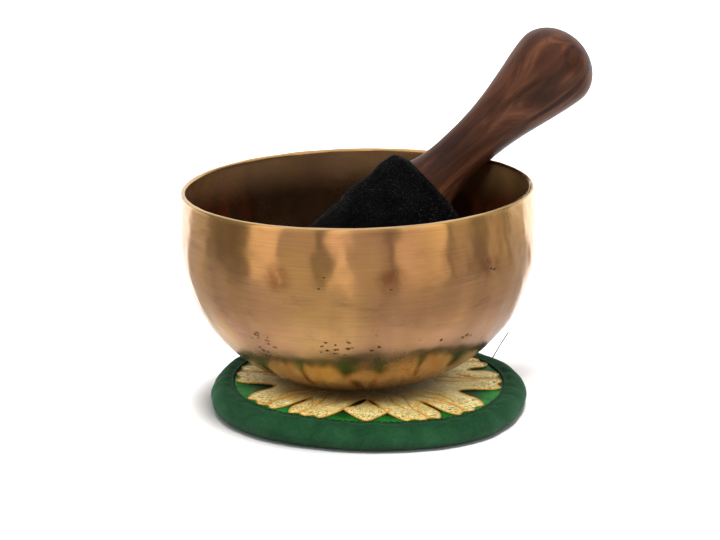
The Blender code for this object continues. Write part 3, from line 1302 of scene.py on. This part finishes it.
    def build_end(self) -> bpy.types.Object:
        """Build the felt disc in the head's flat end.

        Returns:
            The disc.
        """
        outer = self.shoulder_radius - self.cover - self.gap
        rim = 0.7 * MM
        upper = [(r, self.end_disc) for r in np.linspace(1 * MM, outer - rim, 12)]
        edge = arc((outer - rim, self.end_disc - rim), rim, 80, 0, 4)
        edge += arc((outer - rim, rim), rim, 0, -80, 4)
        lower = [(r, 0.0) for r in np.linspace(outer - rim, 1 * MM, 12)]
        rows = turned_rows(upper + edge + lower, 120)
        inside = 1 - smooth_step(outer - 3 * MM, outer, np.linalg.norm(rows[:, :, :2], axis=2))
        rows[:, :, 2] += self.felt_lumps.at(rows) * inside * (rows[:, :, 2] < 1 * MM)
        piece = shell("felt_end", rows, False)
        place(piece, self.stands)
        return piece

    def build(self) -> None:
        """Build and dress the whole mallet."""
        handle = self.build_handle()
        handle.data.materials.append(Rosewood().material(self.stands))
        ride_for(handle, Body.MALLET, "rosewood", "mallet_handle")
        felt = PileCloth("black_felt", (0.0009, 0.0009, 0.0010), (0.0035, 0.0034, 0.0035),
                         (0.35, 0.38, 0.42), Nap.FELT, 0.01, 0.02).material()
        fluff = PileCloth("felt_fibres", (0.004, 0.004, 0.0044), (0.09, 0.09, 0.095),
                          (0.6, 0.6, 0.65), Nap.PLAIN, 0.02, 0.05).material()
        sleeve = self.build_felt()
        sleeve.data.materials.append(felt)
        end = self.build_end()
        end.data.materials.append(felt)
        hair = Fuzz("felt_fuzz", 1.9e6, 0.85 * MM, 0.035 * MM, 0.0, fluff, 31).grown_on(sleeve)
        end_hair = Fuzz("felt_end_fuzz", 1.6e6, 0.6 * MM, 0.035 * MM, 0.0, fluff, 32).grown_on(end)
        ride_for(sleeve, Body.MALLET, "black_felt", "felt_cover", "felt_padding")
        ride_for(end, Body.MALLET, "black_felt", "felt_end_disc")
        ride_for(hair, Body.MALLET, "black_felt")
        ride_for(end_hair, Body.MALLET, "black_felt")


# ---------------------------------------------------------------------------------------------
# Cushion
# ---------------------------------------------------------------------------------------------


@dataclass(frozen=True)
class Petal:
    """A petal: its middle and half its tip in degrees, and where the gap before it begins, in mm."""

    middle: float
    half: float
    gap: float


@dataclass(frozen=True)
class Vein:
    """A line sewn on a petal: degrees from the petal's middle at both ends, and both reaches in mm."""

    start: float
    end: float
    inner: float
    outer: float

    def drawn(self, sway: float) -> list[tuple[float, float]]:
        """Give the line's points, bowed by a number of degrees."""
        return [(self.end + (self.start - self.end) * (1 - t) ** 2 - sway * math.sin(math.pi * t),
                 self.inner + (self.outer - self.inner) * t) for t in np.linspace(0, 1, 7)]


# Petals on one side, from the front to the back
PETALS = (Petal(25, 7, 24), Petal(49, 8, 31), Petal(92, 10, 35), Petal(125, 8, 38), Petal(154, 7, 34))
PETAL_REACH = 49.0
PETAL_SCALLOP = 1.7
PETAL_BULGE = 2.2                           # how far a petal's sides bow out, in degrees
PETAL_SWELL = 0.6                           # under 1, a gap opens quickly from its inner end
LEAF_INNER, LEAF_WAIST, LEAF_TIP = 26.0, 37.0, 48.8
LEAF_HALF = 14.0                            # half the small leaf's width, in degrees
VEIN_SWAY = 3.0                             # how far a sewn line bows, in degrees
VEINS = (Vein(9, 3, 23, 48), Vein(10, 4, 33, 47), Vein(-4, -2, 24, 39))
SLITS = (Vein(6, 7, 33, 40), Vein(0, 0, 36, 44))


def petal_side(gap: float, inner: float, corner: float) -> list[tuple[float, float]]:
    """Draw a petal's side from the inner end of a gap out to the corner of its tip.

    Args:
        gap: The gap's degrees.
        inner: Where the gap begins, in millimetres.
        corner: The corner's degrees.

    Returns:
        Points as degrees and millimetres.
    """
    outwards = math.copysign(PETAL_BULGE, gap - corner)
    return [(gap + (corner - gap) * t ** PETAL_SWELL + outwards * math.sin(math.pi * t * t),
             inner + (PETAL_REACH - inner) * t) for t in np.linspace(0, 1, 9)]


def lotus_edge() -> list[tuple[float, float]]:
    """Draw half of the lotus from its front to its back, as degrees and millimetres.

    Returns:
        Its points.
    """
    gaps = [(a.middle + a.half + b.middle - b.half) / 2 for a, b in zip(PETALS, PETALS[1:])]
    gaps = [0.0] + gaps + [180.0]
    inner = [petal.gap for petal in PETALS] + [PETALS[0].gap]
    edge = []
    for k, petal in enumerate(PETALS):
        edge += petal_side(gaps[k], inner[k], petal.middle - petal.half)
        for u in np.linspace(0, 1, 11)[1:-1]:
            dip = PETAL_SCALLOP * math.sin(2 * math.pi * u) ** 2
            edge.append((petal.middle + petal.half * (2 * u - 1), PETAL_REACH - dip))
        edge += petal_side(gaps[k + 1], inner[k + 1], petal.middle + petal.half)[:0:-1]
    return edge + [(180.0, inner[-1])]


def leaf_edge() -> list[tuple[float, float]]:
    """Draw half of the small leaf, from its inner point round to its tip.

    Returns:
        Points as degrees and millimetres.
    """
    rise = LEAF_WAIST - LEAF_INNER
    near = [(LEAF_HALF * t ** 1.4, LEAF_INNER + rise * math.sin(math.pi / 2 * t))
            for t in np.linspace(0, 1, 6)]
    far = [(LEAF_HALF * (1 - t) ** 0.9, LEAF_WAIST + (LEAF_TIP - LEAF_WAIST) * t)
           for t in np.linspace(0, 1, 6)[1:]]
    return near + far


def chart_point(angle: float, reach: float) -> tuple[float, float]:
    """Turn an angle from the front, in degrees, and a reach in millimetres into a place."""
    turn = math.radians(angle)
    return reach * MM * math.sin(turn), -reach * MM * math.cos(turn)


def rounded(points: np.ndarray, closed: bool, cut: float = 0.2, rounds: int = 2) -> np.ndarray:
    """Round the corners of a line by cutting them.

    Args:
        points: Points of the line.
        closed: Whether it joins its own start.
        cut: Share of each stretch that is cut off at either end.
        rounds: How often the corners are cut.

    Returns:
        The rounded line.
    """
    for _ in range(rounds):
        ahead = np.roll(points, -1, axis=0)
        first, second = points * (1 - cut) + ahead * cut, points * cut + ahead * (1 - cut)
        mixed = np.stack([first, second], axis=1).reshape(-1, points.shape[1])
        points = mixed if closed else np.vstack([points[:1], mixed[1:-3], points[-1:]])
    return points


def spaced(points: np.ndarray, step: float, closed: bool) -> np.ndarray:
    """Space points evenly along a line.

    Args:
        points: Points of the line.
        step: Distance between the new points.
        closed: Whether it joins its own start.

    Returns:
        The new points.
    """
    line = np.vstack([points, points[:1]]) if closed else points
    lengths = np.concatenate([[0], np.cumsum(np.linalg.norm(np.diff(line, axis=0), axis=1))])
    count = max(int(round(lengths[-1] / step)), 2)
    marks = np.linspace(0, lengths[-1], count + 1)
    if closed:
        marks = marks[:-1]
    return np.stack([np.interp(marks, lengths, line[:, i]) for i in range(line.shape[1])], axis=1)


@dataclass
class Cushion:
    """Round cushion: satin top with a brocade lotus, stuffed velvet roll round it, cotton base."""

    satin_radius: float = 50.0 * MM
    base_radius: float = 49.6 * MM
    roll_radius: float = 58.2 * MM
    seam_radius: float = 50.1 * MM
    thread_end: float = 12.0 * MM
    thread_root: tuple[float, float, float] = (47.0 * MM, 25.9 * MM, 8.8 * MM)
    cloth: float = 0.5 * MM
    brocade: float = 0.4 * MM
    base_gap: float = 0.12 * MM
    brocade_gap: float = 0.06 * MM
    tilt: float = 0.085
    steps: int = 420
    turn: float = -3.0
    swell: Unevenness = Unevenness(46 * MM, 0.30 * MM, 41)
    pucker: Unevenness = Unevenness(5.5 * MM, 0.10 * MM, 42)
    creases: Unevenness = Unevenness(13 * MM, 0.10 * MM, 43)

    def settle(self, points: np.ndarray) -> np.ndarray:
        """Bend flat-drawn points as the cushion lies: wider at its front corners, higher at its left.

        Args:
            points: Points of a piece drawn round.

        Returns:
            The points in their place.
        """
        result = points.copy()
        x, y = points[..., 0], points[..., 1]
        reach = np.hypot(x, y)
        bearing = np.degrees(np.arctan2(x, -y))
        right = np.exp(-((bearing - 38) / 24) ** 2)
        left = np.exp(-((bearing + 54) / 22) ** 2)
        stretch = (2.7 * right + 1.5 * left) * MM * smooth_step(15 * MM, 52 * MM, reach)
        scale = 1 + stretch / np.maximum(reach, 1 * MM)
        result[..., 0] *= scale
        result[..., 1] *= scale
        result[..., 2] *= 1 - self.tilt * x / self.roll_radius
        return result

    def top(self, points: np.ndarray) -> np.ndarray:
        """Give the height of the satin's upper side.

        Args:
            points: Points as drawn round.

        Returns:
            One height for each point.
        """
        reach = np.hypot(points[..., 0], points[..., 1])
        marks = np.array([0, 13, 24, 35, 43, 47, 48.6, 50.5]) * MM
        heights = np.array([8.70, 8.70, 8.88, 9.0, 8.84, 8.55, 8.5, 8.45]) * MM
        soft = 0.12 * MM * np.sin(reach / (3.1 * MM)) * smooth_step(40 * MM, 46 * MM, reach) * 0.3
        return np.interp(reach, marks, heights) + soft

    def sheet_rows(self, radius: float, upper: bool) -> np.ndarray:
        """Give the rows of a round cloth, its upper side out and its lower side back.

        Args:
            radius: Its radius.
            upper: Whether it is the satin on top, not the cotton below.

        Returns:
            Rows of points round the axis.
        """
        reach = np.linspace(1 * MM, radius, 50)
        rows = turned_rows([(r, 0.0) for r in reach] + [(r, 0.0) for r in reach[::-1]], self.steps)
        half = len(reach)
        if upper:
            height = self.top(rows)
            rows[:half, :, 2] = height[:half]
            rows[half:, :, 2] = height[half:] - self.cloth
            near = smooth_step(38 * MM, 50 * MM, np.linalg.norm(rows[:, :, :2], axis=2))
            rows[:, :, 2] += self.pucker.at(rows[:, :, :2]) * near * 0.6
        else:
            rows[:half, :, 2] = self.cloth + self.base_gap
            rows[half:, :, 2] = self.base_gap
        return rows

    def build_satin(self) -> bpy.types.Object:
        """Build the satin top, full between the seam and the bowl and pressed flat under it."""
        return shell("satin_cloth", self.settle(self.sheet_rows(self.satin_radius, True)), False)

    def build_base(self) -> bpy.types.Object:
        """Build the cotton base that the cushion lies on."""
        return shell("base_cotton", self.settle(self.sheet_rows(self.base_radius, False)), False)

    def roll_section(self) -> np.ndarray:
        """Give the velvet roll's section, from the lip on the satin over the top and round below.

        Returns:
            Points as distance from the axis and height.
        """
        marks = np.array([
            (49.35, 8.86), (49.6, 9.12), (50.3, 9.10), (50.8, 8.82), (51.05, 8.68), (51.35, 8.84),
            (52.2, 9.18), (53.6, 9.22), (55.2, 8.80), (56.6, 7.85), (57.6, 6.45), (58.15, 4.7),
            (57.95, 3.0), (57.2, 1.55), (55.9, 0.55), (54.2, 0.12), (52.4, 0.10), (51.0, 0.22),
            (50.4, 0.75), (50.3, 2.4), (50.3, 5.5), (50.3, 8.2), (50.15, 8.72), (49.6, 8.74),
        ]) * MM
        return spaced(rounded(marks, True, 0.25, 2), 0.62 * MM, True)

    def build_roll(self) -> bpy.types.Object:
        """Build the stuffed velvet roll, swollen unevenly and puckered along its seam.

        Returns:
            The roll.
        """
        section = self.roll_section()
        rows = turned_rows([(r, z) for r, z in section], self.steps)
        reach = np.linalg.norm(rows[:, :, :2], axis=2)
        normals = row_normals(rows, True)
        out = smooth_step(51.5 * MM, 56 * MM, reach)
        seam = np.exp(-((reach - 52.5 * MM) / (2.2 * MM)) ** 2) * (rows[:, :, 2] > 6 * MM)
        flat_ring = rows * np.array([1.0, 1.0, 0.25])
        lift = self.swell.at(flat_ring) * out + self.creases.at(flat_ring) * (0.3 + 0.7 * out)
        lift = lift + self.pucker.at(rows * np.array([1.0, 1.0, 0.3])) * seam * 1.6
        free = smooth_step(0.0, 1.6 * MM, rows[:, :, 2]) * (reach > 50.6 * MM)
        rows = rows + normals * (lift * free)[:, :, None]
        rows[:, :, 2] = np.maximum(rows[:, :, 2], 0.03 * MM)
        return shell("velvet_roll", self.settle(rows), True)

    def lotus_outline(self, edge: list[tuple[float, float]], turn: float, leaf: bool) -> np.ndarray:
        """Mirror half an edge into a whole outline.

        Args:
            edge: Degrees from the middle and millimetres from the cushion's centre.
            turn: How far the outline is turned, in degrees.
            leaf: Whether both ends of the edge lie on the middle line at the front.

        Returns:
            The outline's points.
        """
        other = [(-a, r) for a, r in reversed(edge[1:-1])]
        ring = [chart_point(a + turn, r) for a, r in edge + other]
        return spaced(rounded(np.array(ring), True, 0.16, 2), (0.5 if leaf else 0.6) * MM, True)

    def petal_lines(self) -> list[np.ndarray]:
        """Give the lines sewn on the petals, drawn flat.

        Returns:
            The lines, each as rows of points.
        """
        lines = []
        for side in (1, -1):
            for i, middle in enumerate(petal.middle for petal in PETALS):
                flip = -1 if i % 2 else 1
                for vein in VEINS:
                    marks = [chart_point(side * (middle + flip * a) + self.turn, r)
                             for a, r in vein.drawn(VEIN_SWAY)]
                    lines.append(spaced(rounded(np.array(marks), False, 0.25, 2), 0.6 * MM, False))
                swirl = []
                for k in range(26):
                    spin = side * (0.5 + k * 0.30)
                    size = 2.6 - k * 0.085
                    x, y = chart_point(side * (middle + flip * 3.5) + self.turn, 35.5)
                    swirl.append((x + size * MM * math.cos(spin), y + size * MM * math.sin(spin)))
                lines.append(spaced(np.array(swirl), 0.5 * MM, False))
        return lines

    def slits(self) -> list[np.ndarray]:
        """Give the short dark lines on the small leaves, drawn flat.

        Returns:
            The lines, each as rows of points.
        """
        lines = []
        for back in (0, 180):
            for side in (1, -1):
                for slit in SLITS:
                    marks = [chart_point(side * a + back + self.turn / 2, r)
                             for a, r in slit.drawn(0.0)]
                    lines.append(spaced(np.array(marks), 0.5 * MM, False))
        return lines

    def on_top(self, flat: np.ndarray, raise_by: float) -> np.ndarray:
        """Lay flat-drawn points on the satin.

        Args:
            flat: Points drawn flat.
            raise_by: How far above the satin they lie.

        Returns:
            The points with their heights.
        """
        points = np.hstack([flat, np.zeros((len(flat), 1))])
        points[:, 2] = self.top(points) + raise_by
        return points

    def relief(self, flat: np.ndarray, lines: list[np.ndarray]) -> np.ndarray:
        """Give how far the brocade puffs up between its sewn lines, none under the bowl.

        Args:
            flat: Points drawn flat.
            lines: The sewn lines.

        Returns:
            One height for each point.
        """
        marks = np.vstack(lines)
        tree = KDTree(len(marks))
        for i, (x, y) in enumerate(marks):
            tree.insert((x, y, 0.0), i)
        tree.balance()
        away = np.array([tree.find((x, y, 0.0))[2] for x, y in flat])
        reach = np.hypot(flat[:, 0], flat[:, 1])
        puff = 1 - np.exp(-((away / (1.5 * MM)) ** 2))
        return 0.42 * MM * puff * smooth_step(22 * MM, 30 * MM, reach)

    def brocade_piece(self, name: str, outlines: list[np.ndarray],
                      lines: list[np.ndarray]) -> bpy.types.Object:
        """Cut brocade to outlines and lay it on the satin.

        Args:
            name: Name of the piece.
            outlines: The closed outlines, drawn flat.
            lines: The lines sewn on it, where it is drawn down.

        Returns:
            The piece, with a map of its weave.
        """
        flat, faces = [], []
        for outline in outlines:
            low, high = outline.min(0), outline.max(0)
            xs = np.arange(low[0], high[0], 0.85 * MM)
            ys = np.arange(low[1], high[1], 0.85 * MM)
            inside = [Vector((x + (j % 2) * 0.42 * MM, y)) for j, y in enumerate(ys) for x in xs]
            ring = [Vector(p) for p in outline]
            cut = delaunay_2d_cdt(ring + inside, [], [list(range(len(ring)))], 1, 1e-7)
            start = len(flat)
            flat.extend((p.x, p.y) for p in cut[0])
            faces.extend(tuple(start + i for i in face) for face in cut[2])
        flat = np.array(flat)
        used = sorted({i for face in faces for i in face})
        renumber = {old: new for new, old in enumerate(used)}
        flat = flat[used]
        faces = [tuple(renumber[i] for i in face) for face in faces]
        puff = self.relief(flat, lines)
        upper = self.on_top(flat, self.brocade + self.brocade_gap)
        upper[:, 2] += puff
        lower = self.on_top(flat, self.brocade_gap)
        count = len(flat)
        borders: dict[tuple[int, int], tuple[int, int]] = {}
        for face in faces:
            for a, b in zip(face, face[1:] + face[:1]):
                key = (min(a, b), max(a, b))
                if key in borders:
                    borders[key] = (-1, -1)
                else:
                    borders[key] = (a, b)
        walls = [(a, b, b + count, a + count) for a, b in borders.values() if a >= 0]
        under = [tuple(i + count for i in reversed(face)) for face in faces]
        points = self.settle(np.vstack([upper, lower]))
        piece = mesh_piece(name, points, faces + under + walls)
        self.map_weave(piece, np.vstack([flat, flat]))
        return piece

    def map_weave(self, piece: bpy.types.Object, flat: np.ndarray) -> None:
        """Map the weave along each petal, in millimetres.

        Args:
            piece: The brocade.
            flat: Its points drawn flat.
        """
        chart = piece.data.uv_layers.new(name="weave")
        bearing = np.degrees(np.arctan2(flat[:, 0], -flat[:, 1])) - self.turn
        reach = np.hypot(flat[:, 0], flat[:, 1]) / MM
        middles = np.array([0.0, 180.0, -180.0] + [s * petal.middle for petal in PETALS for s in (1, -1)])
        for face in piece.data.polygons:
            rows = list(face.vertices)
            centre = flat[rows].mean(0)
            at = math.degrees(math.atan2(centre[0], -centre[1])) - self.turn
            petal = int(np.argmin(np.abs(middles - at)))
            slant = math.radians(14 * (-1) ** petal)
            for loop, i in zip(face.loop_indices, rows):
                across = math.radians(bearing[i] - middles[petal]) * 40
                along = reach[i]
                chart.data[loop].uv = (across * math.cos(slant) + along * math.sin(slant) + 70 * petal,
                                       along * math.cos(slant) - across * math.sin(slant))

    def seam(self, radius: float, height: float) -> np.ndarray:
        """Give a closed seam line round the cushion."""
        ring = turned_rows([(radius, height)], self.steps)[0]
        return self.settle(ring)

    def loose_thread(self, material: bpy.types.Material) -> bpy.types.Object:
        """Make the end of sewing thread that stands up out of the seam at the back right.

        Args:
            material: The sewing thread's material.

        Returns:
            The thread.
        """
        start = np.array(self.thread_root)
        lean = np.array([0.55, 0.0, 0.95])
        bend = np.array([0.10, 0.05, 0.0])
        share = np.linspace(0, 1, 14)[:, None]
        bow = 9 * MM * bend * (share ** 2 - share)
        line = start + self.thread_end * share * lean / np.linalg.norm(lean) + bow
        return OutlineCord("loose_thread", 0.46 * MM, 0.46 * MM, material).laid_along([line])

    def build(self) -> None:
        """Build and dress the whole cushion."""
        velvet = PileCloth("green_velvet", (0.002, 0.022, 0.0075), (0.011, 0.054, 0.020),
                           (0.30, 0.75, 0.45), Nap.VELVET, 0.12).material()
        cotton = PileCloth("green_cotton", (0.010, 0.055, 0.025), (0.022, 0.10, 0.045),
                           (0.3, 0.7, 0.45), Nap.PLAIN, 0.2).material()
        sewing = Thread("green_thread", (0.004, 0.016, 0.008), (0.001, 0.004, 0.002)).material()
        gilt = Thread("gold_outline", (0.74, 0.42, 0.07), (0.40, 0.17, 0.02), 0.5, 0.0).material()
        satin = self.build_satin()
        satin.data.materials.append(Satin().material())
        base = self.build_base()
        base.data.materials.append(cotton)
        roll = self.build_roll()
        roll.data.materials.append(velvet)
        nap = Fuzz("velvet_nap", 0.85e6, 0.42 * MM, 0.028 * MM, 1.0 * MM, velvet, 51).grown_on(roll)
        outlines = [self.lotus_outline(lotus_edge(), self.turn, False)]
        outlines += [self.lotus_outline(leaf_edge(), back + self.turn / 2, True) for back in (0, 180)]
        inner = self.petal_lines()
        dark = self.slits()
        lotus = self.brocade_piece("lotus_brocade", outlines, outlines + inner)
        lotus.data.materials.append(Brocade().material())
        raised = [self.cord_line(line, True) for line in outlines]
        raised += [self.cord_line(line, False) for line in inner]
        cords = OutlineCord("lotus_outline", 0.55 * MM, 0.42 * MM, gilt).laid_along(raised)
        slits = OutlineCord("lotus_slits", 0.4 * MM, 0.3 * MM, sewing).laid_along(
            [self.cord_line(line, False) for line in dark])
        top_row = Stitching("top_stitches", 2.3 * MM, 1.7 * MM, 0.42 * MM, sewing)
        base_row = Stitching("base_stitches", 3.2 * MM, 2.2 * MM, 0.42 * MM, sewing)
        top = top_row.sewn_along(self.seam(self.seam_radius, 9.16 * MM))
        low = base_row.sewn_along(self.seam(49.95 * MM, 0.5 * MM))
        thread = self.loose_thread(sewing)
        ride_for(satin, Body.CUSHION, "green_satin", "satin_top", "cushion_filling")
        ride_for(base, Body.CUSHION, "green_cotton", "base_cloth")
        ride_for(roll, Body.CUSHION, "green_velvet", "border_band", "border_wadding")
        ride_for(nap, Body.CUSHION, "green_velvet")
        ride_for(lotus, Body.CUSHION, "gold_brocade", "lotus_applique")
        ride_for(cords, Body.CUSHION, "gold_brocade")
        ride_for(slits, Body.CUSHION, "green_thread")
        ride_for(top, Body.CUSHION, "green_thread", "seam_thread_top")
        ride_for(low, Body.CUSHION, "green_thread", "seam_thread_base")
        ride_for(thread, Body.CUSHION, "green_thread")

    def cord_line(self, flat: np.ndarray, closed: bool) -> np.ndarray:
        """Lay a line of cord on the brocade's upper side.

        Args:
            flat: The line, drawn flat.
            closed: Whether it joins its own start.

        Returns:
            The cord's middle line in its place.
        """
        ring = np.vstack([flat, flat[:1]]) if closed else flat
        return self.settle(self.on_top(ring, self.brocade + 0.10 * MM))


# ---------------------------------------------------------------------------------------------
# Studio
# ---------------------------------------------------------------------------------------------


class Falls(Enum):
    """What a lamp lights: the rest of the set, or only the floor."""

    OBJECT = "EXCLUDE"
    FLOOR = "INCLUDE"


@dataclass(frozen=True)
class Lamp:
    """A soft rectangular lamp, aimed at the bowl."""

    name: str
    bearing: float
    height: float
    distance: float
    width: float
    tall: float
    power: float
    falls: Falls
    colour: Colour = (1.0, 1.0, 1.0)


@dataclass(frozen=True)
class Card:
    """An upright card that only shiny surfaces see, bright or dark."""

    name: str
    bearing: float
    spread: float
    low: float
    high: float
    distance: float
    glow: Colour


@dataclass
class Studio:
    """Pale floor, soft light and the camera."""

    distance: float = 0.9
    elevation: float = math.radians(13.2)
    lens: float = 123.9
    drop: float = math.radians(15.15)
    pan: float = math.radians(-0.08)
    floor_power: float = 6.0
    floor_spread: float = math.radians(24)
    dim_from: float = 0.0
    dim_at: float = 0.12
    lamps: tuple[Lamp, ...] = (
        Lamp("key_lamp", -8, 46, 1.4, 0.45, 0.45, 17.0, Falls.OBJECT),
        Lamp("left_lamp", -66, 42, 1.4, 0.5, 0.5, 5.0, Falls.OBJECT),
        Lamp("right_lamp", 50, 40, 1.3, 0.3, 0.5, 7.5, Falls.OBJECT),
        Lamp("back_lamp", 165, 66, 1.4, 0.8, 0.6, 4.0, Falls.OBJECT),
    )
    cards: tuple[Card, ...] = (
        Card("wide_card", 0, 200, 0.0, 0.30, 0.245, (0.36, 0.33, 0.26)),
        Card("middle_card", 0, 132, 0.0, 0.30, 0.24, (0.78, 0.70, 0.55)),
        Card("left_card", -53, 20, 0.0, 0.30, 0.23, (1.55, 1.36, 1.02)),
        Card("centre_card", -10, 11, 0.0, 0.30, 0.23, (1.65, 1.46, 1.10)),
        Card("right_card", 34, 29, 0.0, 0.30, 0.23, (1.55, 1.37, 1.02)),
        Card("edge_card", 87, 7, 0.0, 0.30, 0.23, (1.1, 0.98, 0.76)),
    )

    def floor(self) -> bpy.types.Object:
        """Lay the pale floor.

        Returns:
            The floor.
        """
        mesh = bpy.data.meshes.new("floor")
        side = 12.0
        corners = [(-side, -side, 0.0), (side, -side, 0.0), (side, side, 0.0), (-side, side, 0.0)]
        mesh.from_pydata(corners, [], [(0, 1, 2, 3)])
        floor = put_in_scene("floor", mesh)
        mix = Recipe("pale_floor")
        mesh.materials.append(mix.finish({"Base Color": (0.96, 0.96, 0.96), "Roughness": 0.8,
                                          "Specular IOR Level": 0.1}))
        return floor

    def glow_piece(self, name: str, corners: list[tuple[float, float, float]],
                   faces: list[tuple[int, ...]]) -> bpy.types.Object:
        """Make a stage card that is seen only in reflections.

        Args:
            name: Name of the card.
            corners: Its corners.
            faces: Its faces.

        Returns:
            The card.
        """
        mesh = bpy.data.meshes.new(name)
        mesh.from_pydata(corners, [], faces)
        card = put_in_scene(name, mesh)
        for ray in ("camera", "diffuse", "shadow", "transmission", "volume_scatter"):
            setattr(card, "visible_" + ray, False)
        return card

    def reflections(self) -> None:
        """Stand bright cards in front of the bowl, and darken the far floor in its reflections."""
        for card in self.cards:
            corners = []
            for share in np.linspace(-0.5, 0.5, 7):
                turn = math.radians(card.bearing + share * card.spread)
                x, y = math.sin(turn) * card.distance, -math.cos(turn) * card.distance
                corners += [(x, y, card.low), (x, y, card.high)]
            faces = [(2 * i, 2 * i + 2, 2 * i + 3, 2 * i + 1) for i in range(6)]
            piece = self.glow_piece(card.name, corners, faces)
            mix = Recipe(card.name)
            piece.data.materials.append(mix.finish({
                "Base Color": (0.0, 0.0, 0.0), "Emission Color": card.glow, "Emission Strength": 1.0,
                "Specular IOR Level": 0.0,
            }))
        corners, faces = [], []
        turns = np.radians(np.linspace(-128, 128, 40))
        for turn in turns:
            for reach in (self.dim_from, 0.94):
                corners.append((math.sin(turn) * reach, -math.cos(turn) * reach, 0.001))
        for i in range(len(turns) - 1):
            faces.append((2 * i, 2 * i + 1, 2 * i + 3, 2 * i + 2))
        carpet = self.glow_piece("dim_floor", corners, faces)
        mix = Recipe("dim_floor")
        length = mix.vector("LENGTH", mix.place)
        away = mix.fade(length.outputs["Value"], self.dim_from, self.dim_at)
        carpet.data.materials.append(mix.finish({
            "Base Color": (0.0, 0.0, 0.0), "Emission Color": (0.76, 0.71, 0.64),
            "Emission Strength": 1.0, "Specular IOR Level": 0.0, "Alpha": away,
        }))

    def room(self) -> None:
        """Make the room white, with a dim front half in reflections."""
        world = bpy.data.worlds.new("studio")
        world.use_nodes = True
        nodes, links = world.node_tree.nodes, world.node_tree.links
        paths = nodes.new("ShaderNodeLightPath")
        place = nodes.new("ShaderNodeTexCoord")
        split = nodes.new("ShaderNodeSeparateXYZ")
        links.new(place.outputs["Generated"], split.inputs["Vector"])
        open_room = nodes.new("ShaderNodeMath")
        open_room.operation = "MAXIMUM"
        links.new(fade(nodes, links, split.outputs["Y"], 0.35, 0.75), open_room.inputs[0])
        links.new(fade(nodes, links, split.outputs["Z"], 0.35, 0.85), open_room.inputs[1])
        seen = nodes.new("ShaderNodeMapRange")
        seen.inputs["To Min"].default_value = 0.07
        seen.inputs["To Max"].default_value = 1.25
        links.new(open_room.outputs["Value"], seen.inputs["Value"])
        soft = nodes.new("ShaderNodeMix")
        soft.inputs["A"].default_value = 0.45
        links.new(paths.outputs["Is Glossy Ray"], soft.inputs["Factor"])
        links.new(seen.outputs["Result"], soft.inputs["B"])
        final = nodes.new("ShaderNodeMix")
        links.new(paths.outputs["Is Camera Ray"], final.inputs["Factor"])
        links.new(soft.outputs["Result"], final.inputs["A"])
        final.inputs["B"].default_value = 1.1
        links.new(final.outputs["Result"], nodes["Background"].inputs["Strength"])
        nodes["Background"].inputs["Color"].default_value = (1.0, 1.0, 1.0, 1.0)
        bpy.context.scene.world = world

    def light(self, target: Vector, floor: bpy.types.Object) -> None:
        """Hang the lamps round the bowl, with the bowl's lamps flagged off the floor.

        Args:
            target: The point that the lamps are aimed at.
            floor: The floor, which has a lamp of its own.
        """
        flags = {}
        for falls in Falls:
            flags[falls] = bpy.data.collections.new("flag_" + falls.name.lower())
            flags[falls].objects.link(floor)
            flags[falls].collection_objects[0].light_linking.link_state = falls.value
        sun = bpy.data.lights.new("floor_light", "SUN")
        sun.energy = self.floor_power
        sun.angle = self.floor_spread
        overhead = put_in_scene("floor_light", sun)
        overhead.location = target + Vector((0.0, 0.0, 1.0))
        overhead.visible_glossy = False
        overhead.light_linking.receiver_collection = flags[Falls.FLOOR]
        for lamp in self.lamps:
            data = bpy.data.lights.new(lamp.name, "AREA")
            data.shape = "RECTANGLE"
            data.size = lamp.width
            data.size_y = lamp.tall
            data.energy = lamp.power
            data.color = lamp.colour
            obj = put_in_scene(lamp.name, data)
            bearing, height = math.radians(lamp.bearing), math.radians(lamp.height)
            away = Vector((math.sin(bearing) * math.cos(height), -math.cos(bearing) * math.cos(height),
                           math.sin(height)))
            obj.location = target + away * lamp.distance
            obj.rotation_euler = (-away).to_track_quat("-Z", "Y").to_euler()
            obj.visible_glossy = False
            obj.light_linking.receiver_collection = flags[lamp.falls]

    def camera(self, rim: Vector) -> None:
        """Set the camera a little above the bowl, looking down on it.

        Args:
            rim: Middle of the bowl's rim.
        """
        data = bpy.data.cameras.new("camera")
        data.lens = self.lens
        data.sensor_width = 36.0
        data.clip_start = 0.01
        data.clip_end = 50.0
        camera = put_in_scene("camera", data)
        back = Vector((0.0, -math.cos(self.elevation), math.sin(self.elevation)))
        camera.location = rim + back * self.distance
        camera.rotation_euler = (math.pi / 2 - self.drop, 0.0, self.pan)
        bpy.context.scene.camera = camera
        bpy.context.scene.view_settings.view_transform = "Standard"


def main() -> None:
    """Build the set, its studio and its camera."""
    logging.basicConfig(level=logging.INFO, format="%(name)s: %(message)s")
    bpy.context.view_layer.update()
    bowl = Bowl()
    bowl.dress(bowl.build())
    Mallet().build()
    Cushion().build()
    rim = bowl.stands @ Vector((0.0, 0.0, bowl.height))
    studio = Studio()
    floor = studio.floor()
    studio.room()
    studio.reflections()
    studio.light(rim, floor)
    studio.camera(rim)


if __name__ == "__main__":
    main()
